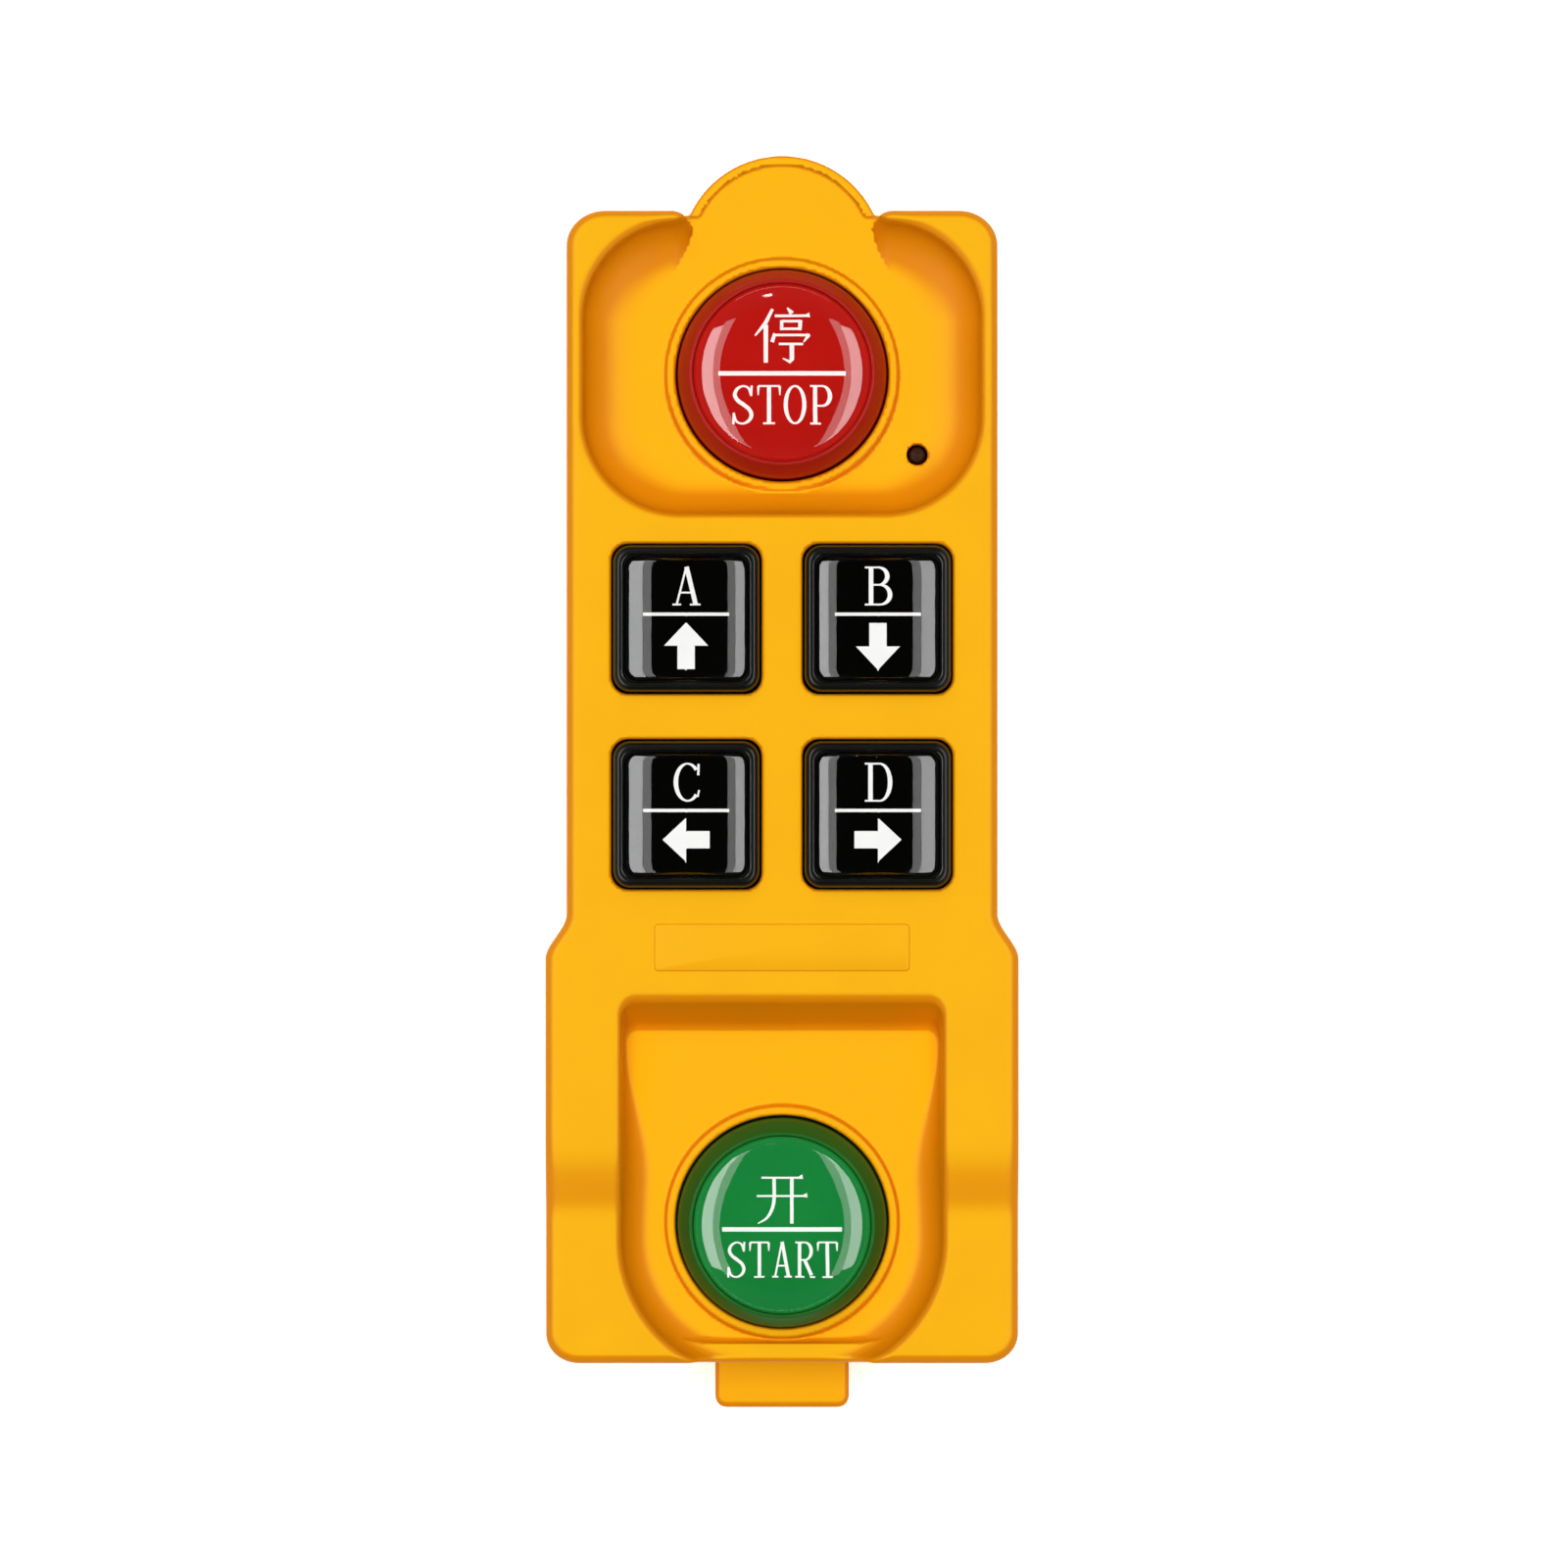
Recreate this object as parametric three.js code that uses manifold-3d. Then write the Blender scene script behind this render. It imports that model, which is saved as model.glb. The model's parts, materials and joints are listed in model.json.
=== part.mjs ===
// Hand-held wireless pendant control station: a two-part moulded housing with six push keys, their
// switches, return springs and circuit board, two AA cells behind a screwed door, and a strap lug.
// Millimetres. +Z points out of the key face, +Y towards the STOP key's end, +X to the right.
// The origin is on the flat back, in the middle of the housing's footprint.
import * as THREE from "three";
import { mergeVertices } from "three/addons/utils/BufferGeometryUtils.js";
import Module from "manifold-3d";

const wasm = await Module();
wasm.setup();

// Driving dimensions: the housing's plan
const GRIP_HALF = 29.6; // half width beside the square keys
const BASE_HALF = 32.5; // half width beside the START key
const TOP_Y = 78.4;
const BOTTOM_Y = -80.1;
const SHOULDER_TOP = -18.2; // the side starts to flare out here
const SHOULDER_LOW = -24.4; // and runs straight again from here
const TOP_CORNER = 4.8;
const LOW_CORNER = 4.1;
const NOSE_Y = 72.6; // centre of the round nose past the top edge
const NOSE_R = 14.05;

// Driving dimensions: heights
const REAR_TOP = 19.0; // the rear housing's rim
const FRONT_LOW = 19.8; // the front housing's rim, above the seal
const FACE = 36.0;
const LOW_FACE = 34.3; // the lower face on both sides of the START key
const FLOOR = 30.0; // floor of the STOP recess and of the nose
const LOW_FLOOR = 29.3; // floor of the START recess
const COLLAR_TOP = 31.0;
const CEILING = 33.6; // inside of the face
const WALL = 2.4;
const FLOOR_WALL = 2.2;
const RAMP_TOP = -51.8; // the face ramps down between these two
const RAMP_LOW = -58.9;

// Driving dimensions: keys
const STOP_Y = 56.2;
const START_Y = -60.9;
const KEY_X = 13.1;
const KEY_ROWS = [22.3, -4.5];
const ROUND_HOLE = 14.7;
const COLLAR_R = 16.1;
const ROUND_CAP = 14.4;
const KEY_HOLE = 20.6;
const KEY_SIZE = 20.0;
const LENS_R = 12.1;
const KEY_LENS = 17.2;

// Driving dimensions: inside
const BOARD_LOW = 20.6;
const BOARD_TOP = 22.2;
const SWITCH_TOP = 26.6;
const SPRING_TOP = 31.4;
const CELL_R = 7.15;
const CELL_LENGTH = 49.5;
const CELL_END = -20.5;
const CELL_X = 7.7;
const CELL_Z = 9.8;
const BAY = { x: 15.7, low: -73.0, high: -17.5, ceiling: 17.2 };
const TUB_WALL = 1.6;
const DOOR = { x: 18.7, low: -75.6, high: -8.8, z0: 0.3, z1: 2.4, corner: 3 };
const DOOR_GAP = 0.3;
const DOOR_SEAT = 3.2;
const BOSSES = [
  [24.6, 73.2],
  [26.4, -22.6],
  [27.4, -74.6],
];
const BOARD_POSTS = [
  [19.6, 63.5],
  [18.2, -21.6],
];
const DOOR_SCREW = { x: 12, y: -12.4 };
const LED = { x: 18.7, y: 45.2, r: 1.45 };
const LUG = { half: 9.45, end: -88.4, z0: 7.5, z1: 16.5, hole: 5, corner: 1.6 };

// ---------- shapes ----------
const CURVE_STEPS = 5;

function roundedRect(x0, y0, x1, y1, r) {
  const s = new THREE.Shape();
  s.moveTo(x0 + r, y0);
  s.lineTo(x1 - r, y0);
  s.absarc(x1 - r, y0 + r, r, -Math.PI / 2, 0);
  s.lineTo(x1, y1 - r);
  s.absarc(x1 - r, y1 - r, r, 0, Math.PI / 2);
  s.lineTo(x0 + r, y1);
  s.absarc(x0 + r, y1 - r, r, Math.PI / 2, Math.PI);
  s.lineTo(x0, y0 + r);
  s.absarc(x0 + r, y0 + r, r, Math.PI, 1.5 * Math.PI);
  return s;
}

const square = (size, r, x, y) => roundedRect(x - size / 2, y - size / 2, x + size / 2, y + size / 2, r);

function circle(x, y, r) {
  const s = new THREE.Shape();
  s.absarc(x, y, r, 0, 2 * Math.PI);
  return s;
}

// The housing's plan without its nose, moved inwards by inset.
function bodyPlan(inset) {
  const g = GRIP_HALF - inset;
  const b = BASE_HALF - inset;
  const top = TOP_Y - inset;
  const low = BOTTOM_Y + inset;
  const rt = Math.max(TOP_CORNER - inset, 1);
  const rl = Math.max(LOW_CORNER - inset, 1);
  const mid = (SHOULDER_TOP + SHOULDER_LOW) / 2 - inset * 0.4;
  const s = new THREE.Shape();
  s.moveTo(-b + rl, low);
  s.lineTo(b - rl, low);
  s.absarc(b - rl, low + rl, rl, -Math.PI / 2, 0);
  s.lineTo(b, SHOULDER_LOW);
  s.bezierCurveTo(b, mid, g, mid, g, SHOULDER_TOP);
  s.lineTo(g, top - rt);
  s.absarc(g - rt, top - rt, rt, 0, Math.PI / 2);
  s.lineTo(-g + rt, top);
  s.absarc(-g + rt, top - rt, rt, Math.PI / 2, Math.PI);
  s.lineTo(-g, SHOULDER_TOP);
  s.bezierCurveTo(-g, mid, -b, mid, -b, SHOULDER_LOW);
  s.lineTo(-b, low + rl);
  s.absarc(-b + rl, low + rl, rl, Math.PI, 1.5 * Math.PI);
  return s;
}

// The START recess's plan: tight top corners, wide bottom corners that run out past the bottom edge.
function startPlan(grow) {
  const x = 22.2 + grow;
  const top = -32.6 + grow;
  const low = -82.1 - grow;
  const r = 19.1 + grow;
  const c = 3;
  const s = new THREE.Shape();
  s.moveTo(-x + r, low);
  s.lineTo(x - r, low);
  s.absarc(x - r, low + r, r, -Math.PI / 2, 0);
  s.lineTo(x, top - c);
  s.absarc(x - c, top - c, c, 0, Math.PI / 2);
  s.lineTo(-x + c, top);
  s.absarc(-x + c, top - c, c, Math.PI / 2, Math.PI);
  s.lineTo(-x, low + r);
  s.absarc(-x + r, low + r, r, Math.PI, 1.5 * Math.PI);
  return s;
}

// ---------- solids ----------
function prism(shape, z0, z1, steps = CURVE_STEPS) {
  const g = new THREE.ExtrudeGeometry(shape, { depth: z1 - z0, bevelEnabled: false, curveSegments: steps });
  return g.translate(0, 0, z0);
}

// A prism whose two ends curve in by size over the height rise.
function softPrism(shape, z0, z1, size, rise = size, segments = 3, steps = CURVE_STEPS) {
  const g = new THREE.ExtrudeGeometry(shape, {
    depth: z1 - z0 - 2 * rise,
    bevelThickness: rise,
    bevelSize: size,
    bevelOffset: -size,
    bevelSegments: segments,
    curveSegments: steps,
  });
  return g.translate(0, 0, z0 + rise);
}

const box = (x0, y0, z0, x1, y1, z1) =>
  new THREE.BoxGeometry(x1 - x0, y1 - y0, z1 - z0).translate((x0 + x1) / 2, (y0 + y1) / 2, (z0 + z1) / 2);

// Each point with its mirror image across the middle.
const mirrored = (points) => points.flatMap(([x, y]) => [
  [x, y],
  [-x, y],
]);

const rod = (x, y, z0, z1, r, sides = 24) =>
  new THREE.CylinderGeometry(r, r, z1 - z0, sides).rotateX(Math.PI / 2).translate(x, y, (z0 + z1) / 2);

// A solid of revolution about a Z line through x, y from [radius, height] pairs.
function turned(profile, x, y, sides = 32) {
  const points = profile.map(([r, z]) => new THREE.Vector2(r, z));
  return new THREE.LatheGeometry(points, sides).rotateX(Math.PI / 2).translate(x, y, 0);
}

// A YZ outline run along X, from -half to half.
function sideways(points, half) {
  const s = new THREE.Shape(points.map(([y, z]) => new THREE.Vector2(y, z)));
  const g = new THREE.ExtrudeGeometry(s, { depth: 2 * half, bevelEnabled: false });
  return g.rotateY(Math.PI / 2).rotateX(Math.PI / 2).translate(-half, 0, 0);
}

class Coil extends THREE.Curve {
  constructor(x, y, z0, z1, r0, r1, turns) {
    super();
    Object.assign(this, { x, y, z0, z1, r0, r1, turns });
  }
  getPoint(t, out = new THREE.Vector3()) {
    const a = 2 * Math.PI * this.turns * t;
    const r = this.r0 + (this.r1 - this.r0) * t;
    return out.set(this.x + r * Math.cos(a), this.y + r * Math.sin(a), this.z0 + (this.z1 - this.z0) * t);
  }
}

function wire(path, r, steps, sides) {
  return new THREE.ExtrudeGeometry(circle(0, 0, r), { extrudePath: path, steps, curveSegments: sides });
}

function solid(geometry) {
  const g = geometry.clone();
  g.deleteAttribute("normal");
  g.deleteAttribute("uv");
  const m = mergeVertices(g, 1e-4);
  const made = new wasm.Manifold(
    new wasm.Mesh({
      numProp: 3,
      vertProperties: m.attributes.position.array,
      triVerts: new Uint32Array(m.index.array),
    }),
  );
  return made;
}

const join = (...parts) => parts.map((p) => (p.isBufferGeometry ? solid(p) : p)).reduce((a, b) => a.add(b));
const cut = (from, ...parts) =>
  parts.map((p) => (p.isBufferGeometry ? solid(p) : p)).reduce((a, b) => a.subtract(b), from);

const part = new THREE.Group();

function addMesh(name, shape, material) {
  let geometry = shape;
  if (!shape.isBufferGeometry) {
    const m = shape.getMesh();
    geometry = new THREE.BufferGeometry();
    geometry.setAttribute("position", new THREE.BufferAttribute(m.vertProperties, 3));
    geometry.setIndex(new THREE.BufferAttribute(m.triVerts, 1));
    geometry.computeVertexNormals();
  }
  const mesh = new THREE.Mesh(geometry, material);
  mesh.name = name;
  part.add(mesh);
}

// ---------- materials ----------
const paint = (color, roughness, metalness = 0) =>
  new THREE.MeshStandardMaterial({ color, roughness, metalness });
const yellow = paint(0xfcb81a, 0.42);
const seal = paint(0x2a2a2a, 0.8);
const black = paint(0x0c0c0c, 0.2);
const red = paint(0xc2221a, 0.2);
const green = paint(0x1f9348, 0.2);
const clear = new THREE.MeshStandardMaterial({
  color: 0xffffff,
  roughness: 0.03,
  transparent: true,
  opacity: 0.25,
});
const steel = paint(0xb8bcc0, 0.3, 1);
const board = paint(0x1d6b3a, 0.5);
const chip = paint(0x1a1a1c, 0.5);
const cellWrap = paint(0x2b5fa8, 0.35);
const copper = paint(0xb87333, 0.35, 1);
const dark = paint(0x331a08, 0.3);

// ---------- housing ----------
function stopRecess(grow, floor, rings, steps) {
  const plan = roundedRect(-27.3 - grow, 36.75 - grow, 27.3 + grow, 76.8 + Math.min(grow, 0.5), 13.4);
  return softPrism(plan, floor, FACE + 20, 6.4, 5.4, rings, steps);
}

// Straight sides with a rounded foot, and a slanting end wall at the top.
function startRecess(grow, floor, rings, steps) {
  const wall = [
    [-29.9 + grow, FACE],
    [-29.9 + grow, FACE + 10],
    [-40, FACE + 10],
    [-40, floor],
    [-33.8 + grow, floor],
  ];
  return join(
    softPrism(startPlan(grow), floor, FACE + 20, 2.4, 6.4, rings, steps),
    cut(solid(sideways(wall, 21.9 + grow)), box(-60, -60, 0, 60, 60, floor - 0.01)),
  );
}

function frontHousing() {
  const drop = FACE - LOW_FACE;
  const run = RAMP_TOP - RAMP_LOW;
  const aboveRamp = [
    [RAMP_LOW, FRONT_LOW - 1],
    [RAMP_LOW, LOW_FACE],
    [RAMP_TOP + run, FACE + drop],
    [TOP_Y + 5, FACE + drop],
    [TOP_Y + 5, FRONT_LOW - 1],
  ];
  const full = (top) =>
    cut(solid(softPrism(bodyPlan(0), FRONT_LOW - 10, top, 1.6)), box(-90, -99, 0, 90, 99, FRONT_LOW));
  const outer = join(
    full(LOW_FACE),
    full(FACE).intersect(solid(sideways(aboveRamp, 60))),
    prism(circle(0, NOSE_Y, NOSE_R), FRONT_LOW, FLOOR - 0.8, 14),
    prism(circle(0, NOSE_Y, NOSE_R - 1.3), FRONT_LOW, FLOOR, 14),
  );
  const recessed = cut(
    outer,
    stopRecess(0, FLOOR, 5, 6),
    box(-12.3, 66, FLOOR, 12.3, 92, FACE + 5),
    startRecess(0, LOW_FLOOR, 4, 7),
    box(-17.4, -26.0, FACE - 0.25, 17.4, -19.6, FACE + 1),
  );
  const collars = [STOP_Y, START_Y].map((y) => rod(0, y, CEILING - 7, COLLAR_TOP, COLLAR_R, 36));
  const sill = solid(box(-12.4, BOTTOM_Y + 0.1, FLOOR - 3, 12.4, -77.9, FLOOR + 0.2));
  // The room inside leaves a wall under both recesses and round the nose.
  const room = cut(
    join(
      prism(bodyPlan(WALL), FRONT_LOW - 1, CEILING),
      prism(circle(0, NOSE_Y, NOSE_R - WALL), FRONT_LOW - 1, FLOOR - FLOOR_WALL, 7),
    ),
    stopRecess(FLOOR_WALL, FLOOR - FLOOR_WALL, 2, 3),
    box(-14.5, 66, FLOOR - FLOOR_WALL, 14.5, 92, FACE + 5),
    startRecess(FLOOR_WALL, LOW_FLOOR - FLOOR_WALL, 1, 3),
    box(-60, BOTTOM_Y - 9, LOW_FACE - WALL, 60, RAMP_TOP + 1.5, 60),
  );
  const bosses = mirrored(BOSSES).map(([x, y]) => rod(x, y, FRONT_LOW + 0.4, 28.5, 3.3, 12));
  const posts = mirrored(BOARD_POSTS).map(([x, y]) => {
    const root = y < 0 ? 33.8 : 28.2;
    return rod(x, y, BOARD_TOP, root, 2.5, 10);
  });
  const holes = [
    ...[STOP_Y, START_Y].map((y) => rod(0, y, 10, 40, ROUND_HOLE, 36)),
    ...KEY_ROWS.flatMap((y) => [-KEY_X, KEY_X].map((x) => prism(square(KEY_HOLE, 2.3, x, y), 30, 40, 3))),
    rod(LED.x, LED.y, 20, 40, LED.r, 16),
    ...mirrored(BOSSES).map(([x, y]) => rod(x, y, FRONT_LOW - 1, 27, 1.3, 8)),
    ...mirrored(BOARD_POSTS).map(([x, y]) => rod(x, y, BOARD_TOP - 1, 27, 0.95, 8)),
  ];
  return cut(cut(join(recessed, sill, ...collars), room).add(join(...bosses, ...posts)), ...holes);
}

function rearHousing() {
  const lugPlan = roundedRect(-LUG.half, LUG.end, LUG.half, BOTTOM_Y + 3, LUG.corner);
  const tubX = BAY.x + TUB_WALL;
  const shell = join(
    cut(solid(softPrism(bodyPlan(0), 0, REAR_TOP + 10, 3.2, 3.2, 4)), box(-90, -99, REAR_TOP, 90, 99, 50)),
    cut(
      solid(softPrism(circle(0, NOSE_Y, NOSE_R), 5, REAR_TOP + 10, 2, 2, 3, 14)),
      box(-90, 50, REAR_TOP, 90, 99, 50),
    ),
    cut(
      solid(softPrism(lugPlan, LUG.z0, LUG.z1, 0.8, 0.8, 2, 4)),
      box(-20, BOTTOM_Y + 2, 0, 20, BOTTOM_Y + 5, 40),
    ),
  );
  const room = cut(
    join(
      prism(bodyPlan(WALL), FLOOR_WALL, REAR_TOP + 1),
      prism(circle(0, NOSE_Y, NOSE_R - WALL), 5 + FLOOR_WALL, REAR_TOP + 1, 7),
    ),
    box(-tubX, BAY.low - TUB_WALL, -1, tubX, BAY.high + TUB_WALL, BAY.ceiling + TUB_WALL),
    // a thick seat under the door's rim and its screws
    prism(roundedRect(-DOOR.x - 2, DOOR.low - 2, DOOR.x + 2, DOOR.high + 2, 4), -1, DOOR_SEAT + 2),
    ...[-1, 1].map((s) => rod(s * DOOR_SCREW.x, DOOR_SCREW.y, -1, 12, 3, 16)),
    ...mirrored(BOSSES).map(([x, y]) => rod(x, y, -1, 40, 4, 12)),
  );
  const gap = DOOR_GAP;
  const holeX = DOOR.x + gap;
  const doorHole = roundedRect(-holeX, DOOR.low - gap, holeX, DOOR.high + gap, DOOR.corner + gap);
  // The strap's eye is a rounded square hole that runs across the lug.
  const eye = prism(square(LUG.hole, 1.2, 0, 0), -20, 20, 3).rotateY(Math.PI / 2);
  return cut(
    shell,
    room,
    prism(doorHole, -1, DOOR_SEAT, 2),
    box(-6.3, DOOR.low - 2.4, 0.9, 6.3, DOOR.low + 1, 2.6), // the door's tongue goes in here
    box(-BAY.x, BAY.low, -1, BAY.x, BAY.high, BAY.ceiling),
    eye.translate(0, (LUG.end + BOTTOM_Y) / 2 + 0.4, (LUG.z0 + LUG.z1) / 2),
    ...[-1, 1].map((s) => rod(s * DOOR_SCREW.x, DOOR_SCREW.y, -1, 11, 1.15, 10)),
    ...mirrored(BOSSES).flatMap(([x, y]) => [rod(x, y, -1, 25, 1.8, 8), rod(x, y, -1, 6, 3.1, 12)]),
    prism(roundedRect(-17, 8, 17, 50, 1.5), -1, 0.3, 3), // shallow blank label panel
  );
}

function housingSeal() {
  return cut(
    join(
      prism(bodyPlan(0.7), REAR_TOP, FRONT_LOW),
      prism(circle(0, NOSE_Y, NOSE_R - 0.7), REAR_TOP, FRONT_LOW, 8),
    ),
    prism(bodyPlan(WALL - 0.3), REAR_TOP - 1, FRONT_LOW + 1),
    prism(circle(0, NOSE_Y, NOSE_R - WALL + 0.3), REAR_TOP - 1, FRONT_LOW + 1, 7),
  );
}

function batteryDoor() {
  const tongue = box(-6, DOOR.low - 2, 1.1, 6, DOOR.low + 2, 2.3);
  const panel = roundedRect(-DOOR.x, DOOR.low, DOOR.x, DOOR.high, DOOR.corner);
  const plate = join(softPrism(panel, DOOR.z0, DOOR.z1, 0.5, 0.4, 1, 2), tongue);
  const groove = (y) => box(-13, y, -1, 13, y + 1.4, DOOR.z0 + 0.7);
  const grooves = Array.from({ length: 7 }, (_, i) => groove(-64.4 + i * 3.6));
  const holes = [-1, 1].flatMap((s) => [
    rod(s * DOOR_SCREW.x, DOOR_SCREW.y, -1, 5, 1.7, 12),
    rod(s * DOOR_SCREW.x, DOOR_SCREW.y, -1, 1.7, 3.0, 16),
  ]);
  return cut(plate, ...grooves, ...holes);
}

function doorSeal() {
  const out = roundedRect(-DOOR.x + 0.2, DOOR.low + 0.2, DOOR.x - 0.2, DOOR.high - 0.2, DOOR.corner);
  return cut(
    solid(prism(out, DOOR.z1 + 0.1, DOOR_SEAT - 0.05, 2)),
    prism(roundedRect(-BAY.x, BAY.low, BAY.x, BAY.high, 1), 0, 9, 3),
    ...[-1, 1].map((s) => rod(s * DOOR_SCREW.x, DOOR_SCREW.y, 0, 9, 2.2, 12)),
  );
}

// ---------- fasteners ----------
// A pan-head screw pointing up, with a cross slot in its head.
function screw(x, y, headLow, headHigh, tip, headR, shankR) {
  const rise = headHigh - headLow;
  const body = turned(
    [
      [0, headLow],
      [headR * 0.7, headLow],
      [headR, headLow + rise * 0.5],
      [headR, headHigh],
      [shankR, headHigh],
      [shankR, tip - 1],
      [0, tip],
    ],
    x,
    y,
    8,
  );
  const slot = (a) =>
    new THREE.BoxGeometry(headR * 1.1, headR * 0.26, rise).rotateZ(a).translate(x, y, headLow);
  return cut(solid(body), slot(0), slot(Math.PI / 2));
}

// ---------- keys ----------
// Round key: a cup with a retaining flange, and a stem down to its switch.
function roundCap(y) {
  const cup = turned(
    [
      [0, 31.5],
      [11.5, 31.5],
      [11.5, 25.4],
      [15.6, 25.4],
      [15.6, 26.5],
      [ROUND_CAP, 26.6],
      [ROUND_CAP, 31.8],
      [13.5, 34.2],
      [LENS_R + 0.35, 35.0],
      [LENS_R + 0.2, 34.0],
      [0, 34.0],
    ],
    0,
    y,
    32,
  );
  return join(cup, rod(0, y, 25.6, 32, 1.6, 8));
}

function roundLens(y) {
  const dome = Array.from({ length: 5 }, (_, i) => {
    const a = (i / 4) * (Math.PI / 2);
    return [LENS_R * Math.cos(a), 35.0 + 1.9 * Math.sin(a) ** 1.6];
  });
  dome[4][0] = 0;
  return turned([[0, 34.5], [LENS_R, 34.5], ...dome], 0, y, 32);
}

const legendDisc = (y) => rod(0, y, 34.05, 34.45, LENS_R - 0.1, 32);

// Square key: the same idea on a square plan with rounded corners.
function squareCap(x, y) {
  const cap = softPrism(square(KEY_SIZE, 2.2, x, y), 28, 38.3, 1.0, 1.2, 2, 3);
  return cut(
    join(cut(solid(cap), box(-60, -60, 0, 60, 60, 32.2)), prism(square(21.8, 2.8, x, y), 32.2, 33.4, 2)),
    prism(square(16.4, 1.5, x, y), 30, 36.2, 1),
    prism(square(KEY_LENS + 0.3, 1.9, x, y), 37.4, 40, 3),
  ).add(join(rod(x, y, SPRING_TOP + 0.1, 36.5, 4, 12), rod(x, y, 25.6, 36.5, 1.6, 8)));
}

const squareLens = (x, y) =>
  cut(
    solid(softPrism(square(KEY_LENS, 1.9, x, y), 34, 39.2, 1.8, 1.1, 2, 2)),
    box(-60, -60, 0, 60, 60, 37.85),
  );

const squareLegend = (x, y) => prism(square(KEY_LENS - 0.2, 1.7, x, y), 37.45, 37.8, 2);

function switchBody(x, y) {
  return cut(
    join(
      box(x - 6, y - 6, BOARD_TOP, x + 6, y + 6, BOARD_TOP + 3.2),
      rod(x, y, BOARD_TOP + 3, SWITCH_TOP, 3.4, 12),
    ),
    rod(x, y, BOARD_TOP + 0.6, SWITCH_TOP + 1, 1.9, 10),
  );
}

const returnSpring = (x, y) =>
  wire(new Coil(x, y, SWITCH_TOP + 0.45, SPRING_TOP - 0.45, 2.7, 2.7, 3.5), 0.3, 32, 2);

// One soft mat under the key flanges, with a hole for each stem, seals the keys.
function keySeal() {
  const mat = prism(roundedRect(-24.2, -16.4, 24.2, 34.2, 3), 28.6, 29.4, 4);
  const holes = KEY_ROWS.flatMap((y) => [-KEY_X, KEY_X].map((x) => rod(x, y, 20, 40, 4.6, 12)));
  return cut(solid(mat), ...holes);
}

// ---------- electronics ----------
function circuitBoard() {
  const plate = prism(roundedRect(-22.4, -71, 22.4, 69.5, 2), BOARD_LOW, BOARD_TOP, 3);
  const holes = mirrored(BOARD_POSTS).map(([x, y]) => rod(x, y, 10, 40, 1.3, 12));
  return cut(solid(plate), ...holes);
}

function radioShield() {
  return cut(
    solid(box(-9, 38, BOARD_LOW - 2.8, 9, 60, BOARD_LOW)),
    box(-8.6, 38.4, BOARD_LOW - 2.4, 8.6, 59.6, BOARD_LOW + 1),
  );
}

function cell(x, flip) {
  const tip = CELL_LENGTH;
  const g = turned(
    [
      [0, 0],
      [CELL_R - 0.6, 0],
      [CELL_R, 0.6],
      [CELL_R, tip - 2],
      [CELL_R - 0.8, tip - 1.2],
      [2.7, tip - 1.2],
      [2.7, tip],
      [0, tip],
    ],
    0,
    0,
    16,
  );
  g.rotateX(flip ? Math.PI / 2 : -Math.PI / 2);
  return g.translate(x, flip ? CELL_END : CELL_END - CELL_LENGTH, CELL_Z);
}

function cellSpring(x, atTop) {
  const coil = wire(new Coil(0, 0, 0.4, 1.8, 4.6, 2.4, 3), 0.35, 28, 2);
  coil.rotateX(atTop ? Math.PI / 2 : -Math.PI / 2);
  return coil.translate(x, atTop ? BAY.high - 0.55 : BAY.low + 0.55, CELL_Z);
}

// A contact plate at y with a raised stud that meets the cell's tip.
function contact(x0, x1, y, studX, side) {
  const stud = new THREE.CylinderGeometry(2.2, 2.2, 2.4, 12).translate(studX, y + side * 1.2, CELL_Z);
  return join(box(x0, y - 0.2, 4.2, x1, y + 0.2, 15.6), stud);
}

// ---------- assembly ----------
addMesh("front_housing", frontHousing(), yellow);
addMesh("rear_housing", rearHousing(), yellow);
addMesh("housing_seal", housingSeal(), seal);
addMesh("battery_door", batteryDoor(), yellow);
addMesh("battery_door_seal", doorSeal(), seal);
BOSSES.forEach(([x, y], row) => {
  for (const side of [-1, 1]) {
    const name = `housing_screw_${["top", "middle", "bottom"][row]}_${side < 0 ? "left" : "right"}`;
    addMesh(name, screw(side * x, y, 3.6, 5.9, 26.4, 2.8, 1.2), steel);
  }
});
for (const side of [-1, 1]) {
  const name = `door_screw_${side < 0 ? "left" : "right"}`;
  addMesh(name, screw(side * DOOR_SCREW.x, DOOR_SCREW.y, 0.4, 1.6, 9.5, 2.7, 1.05), steel);
}

for (const [name, y, colour] of [["stop", STOP_Y, red], ["start", START_Y, green]]) {
  addMesh(`${name}_key_cap`, roundCap(y), colour);
  addMesh(`${name}_key_legend`, legendDisc(y), colour);
  addMesh(`${name}_key_lens`, roundLens(y), clear);
  addMesh(`${name}_key_spring`, returnSpring(0, y), steel);
  addMesh(`${name}_switch`, switchBody(0, y), chip);
}
const KEYS = {
  up: [-KEY_X, KEY_ROWS[0]],
  down: [KEY_X, KEY_ROWS[0]],
  left: [-KEY_X, KEY_ROWS[1]],
  right: [KEY_X, KEY_ROWS[1]],
};
for (const [name, [x, y]] of Object.entries(KEYS)) {
  addMesh(`${name}_key_cap`, squareCap(x, y), black);
  addMesh(`${name}_key_legend`, squareLegend(x, y), black);
  addMesh(`${name}_key_lens`, squareLens(x, y), clear);
  addMesh(`${name}_key_spring`, returnSpring(x, y), steel);
  addMesh(`${name}_switch`, switchBody(x, y), chip);
}
addMesh("key_seal_mat", keySeal(), seal);

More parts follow.
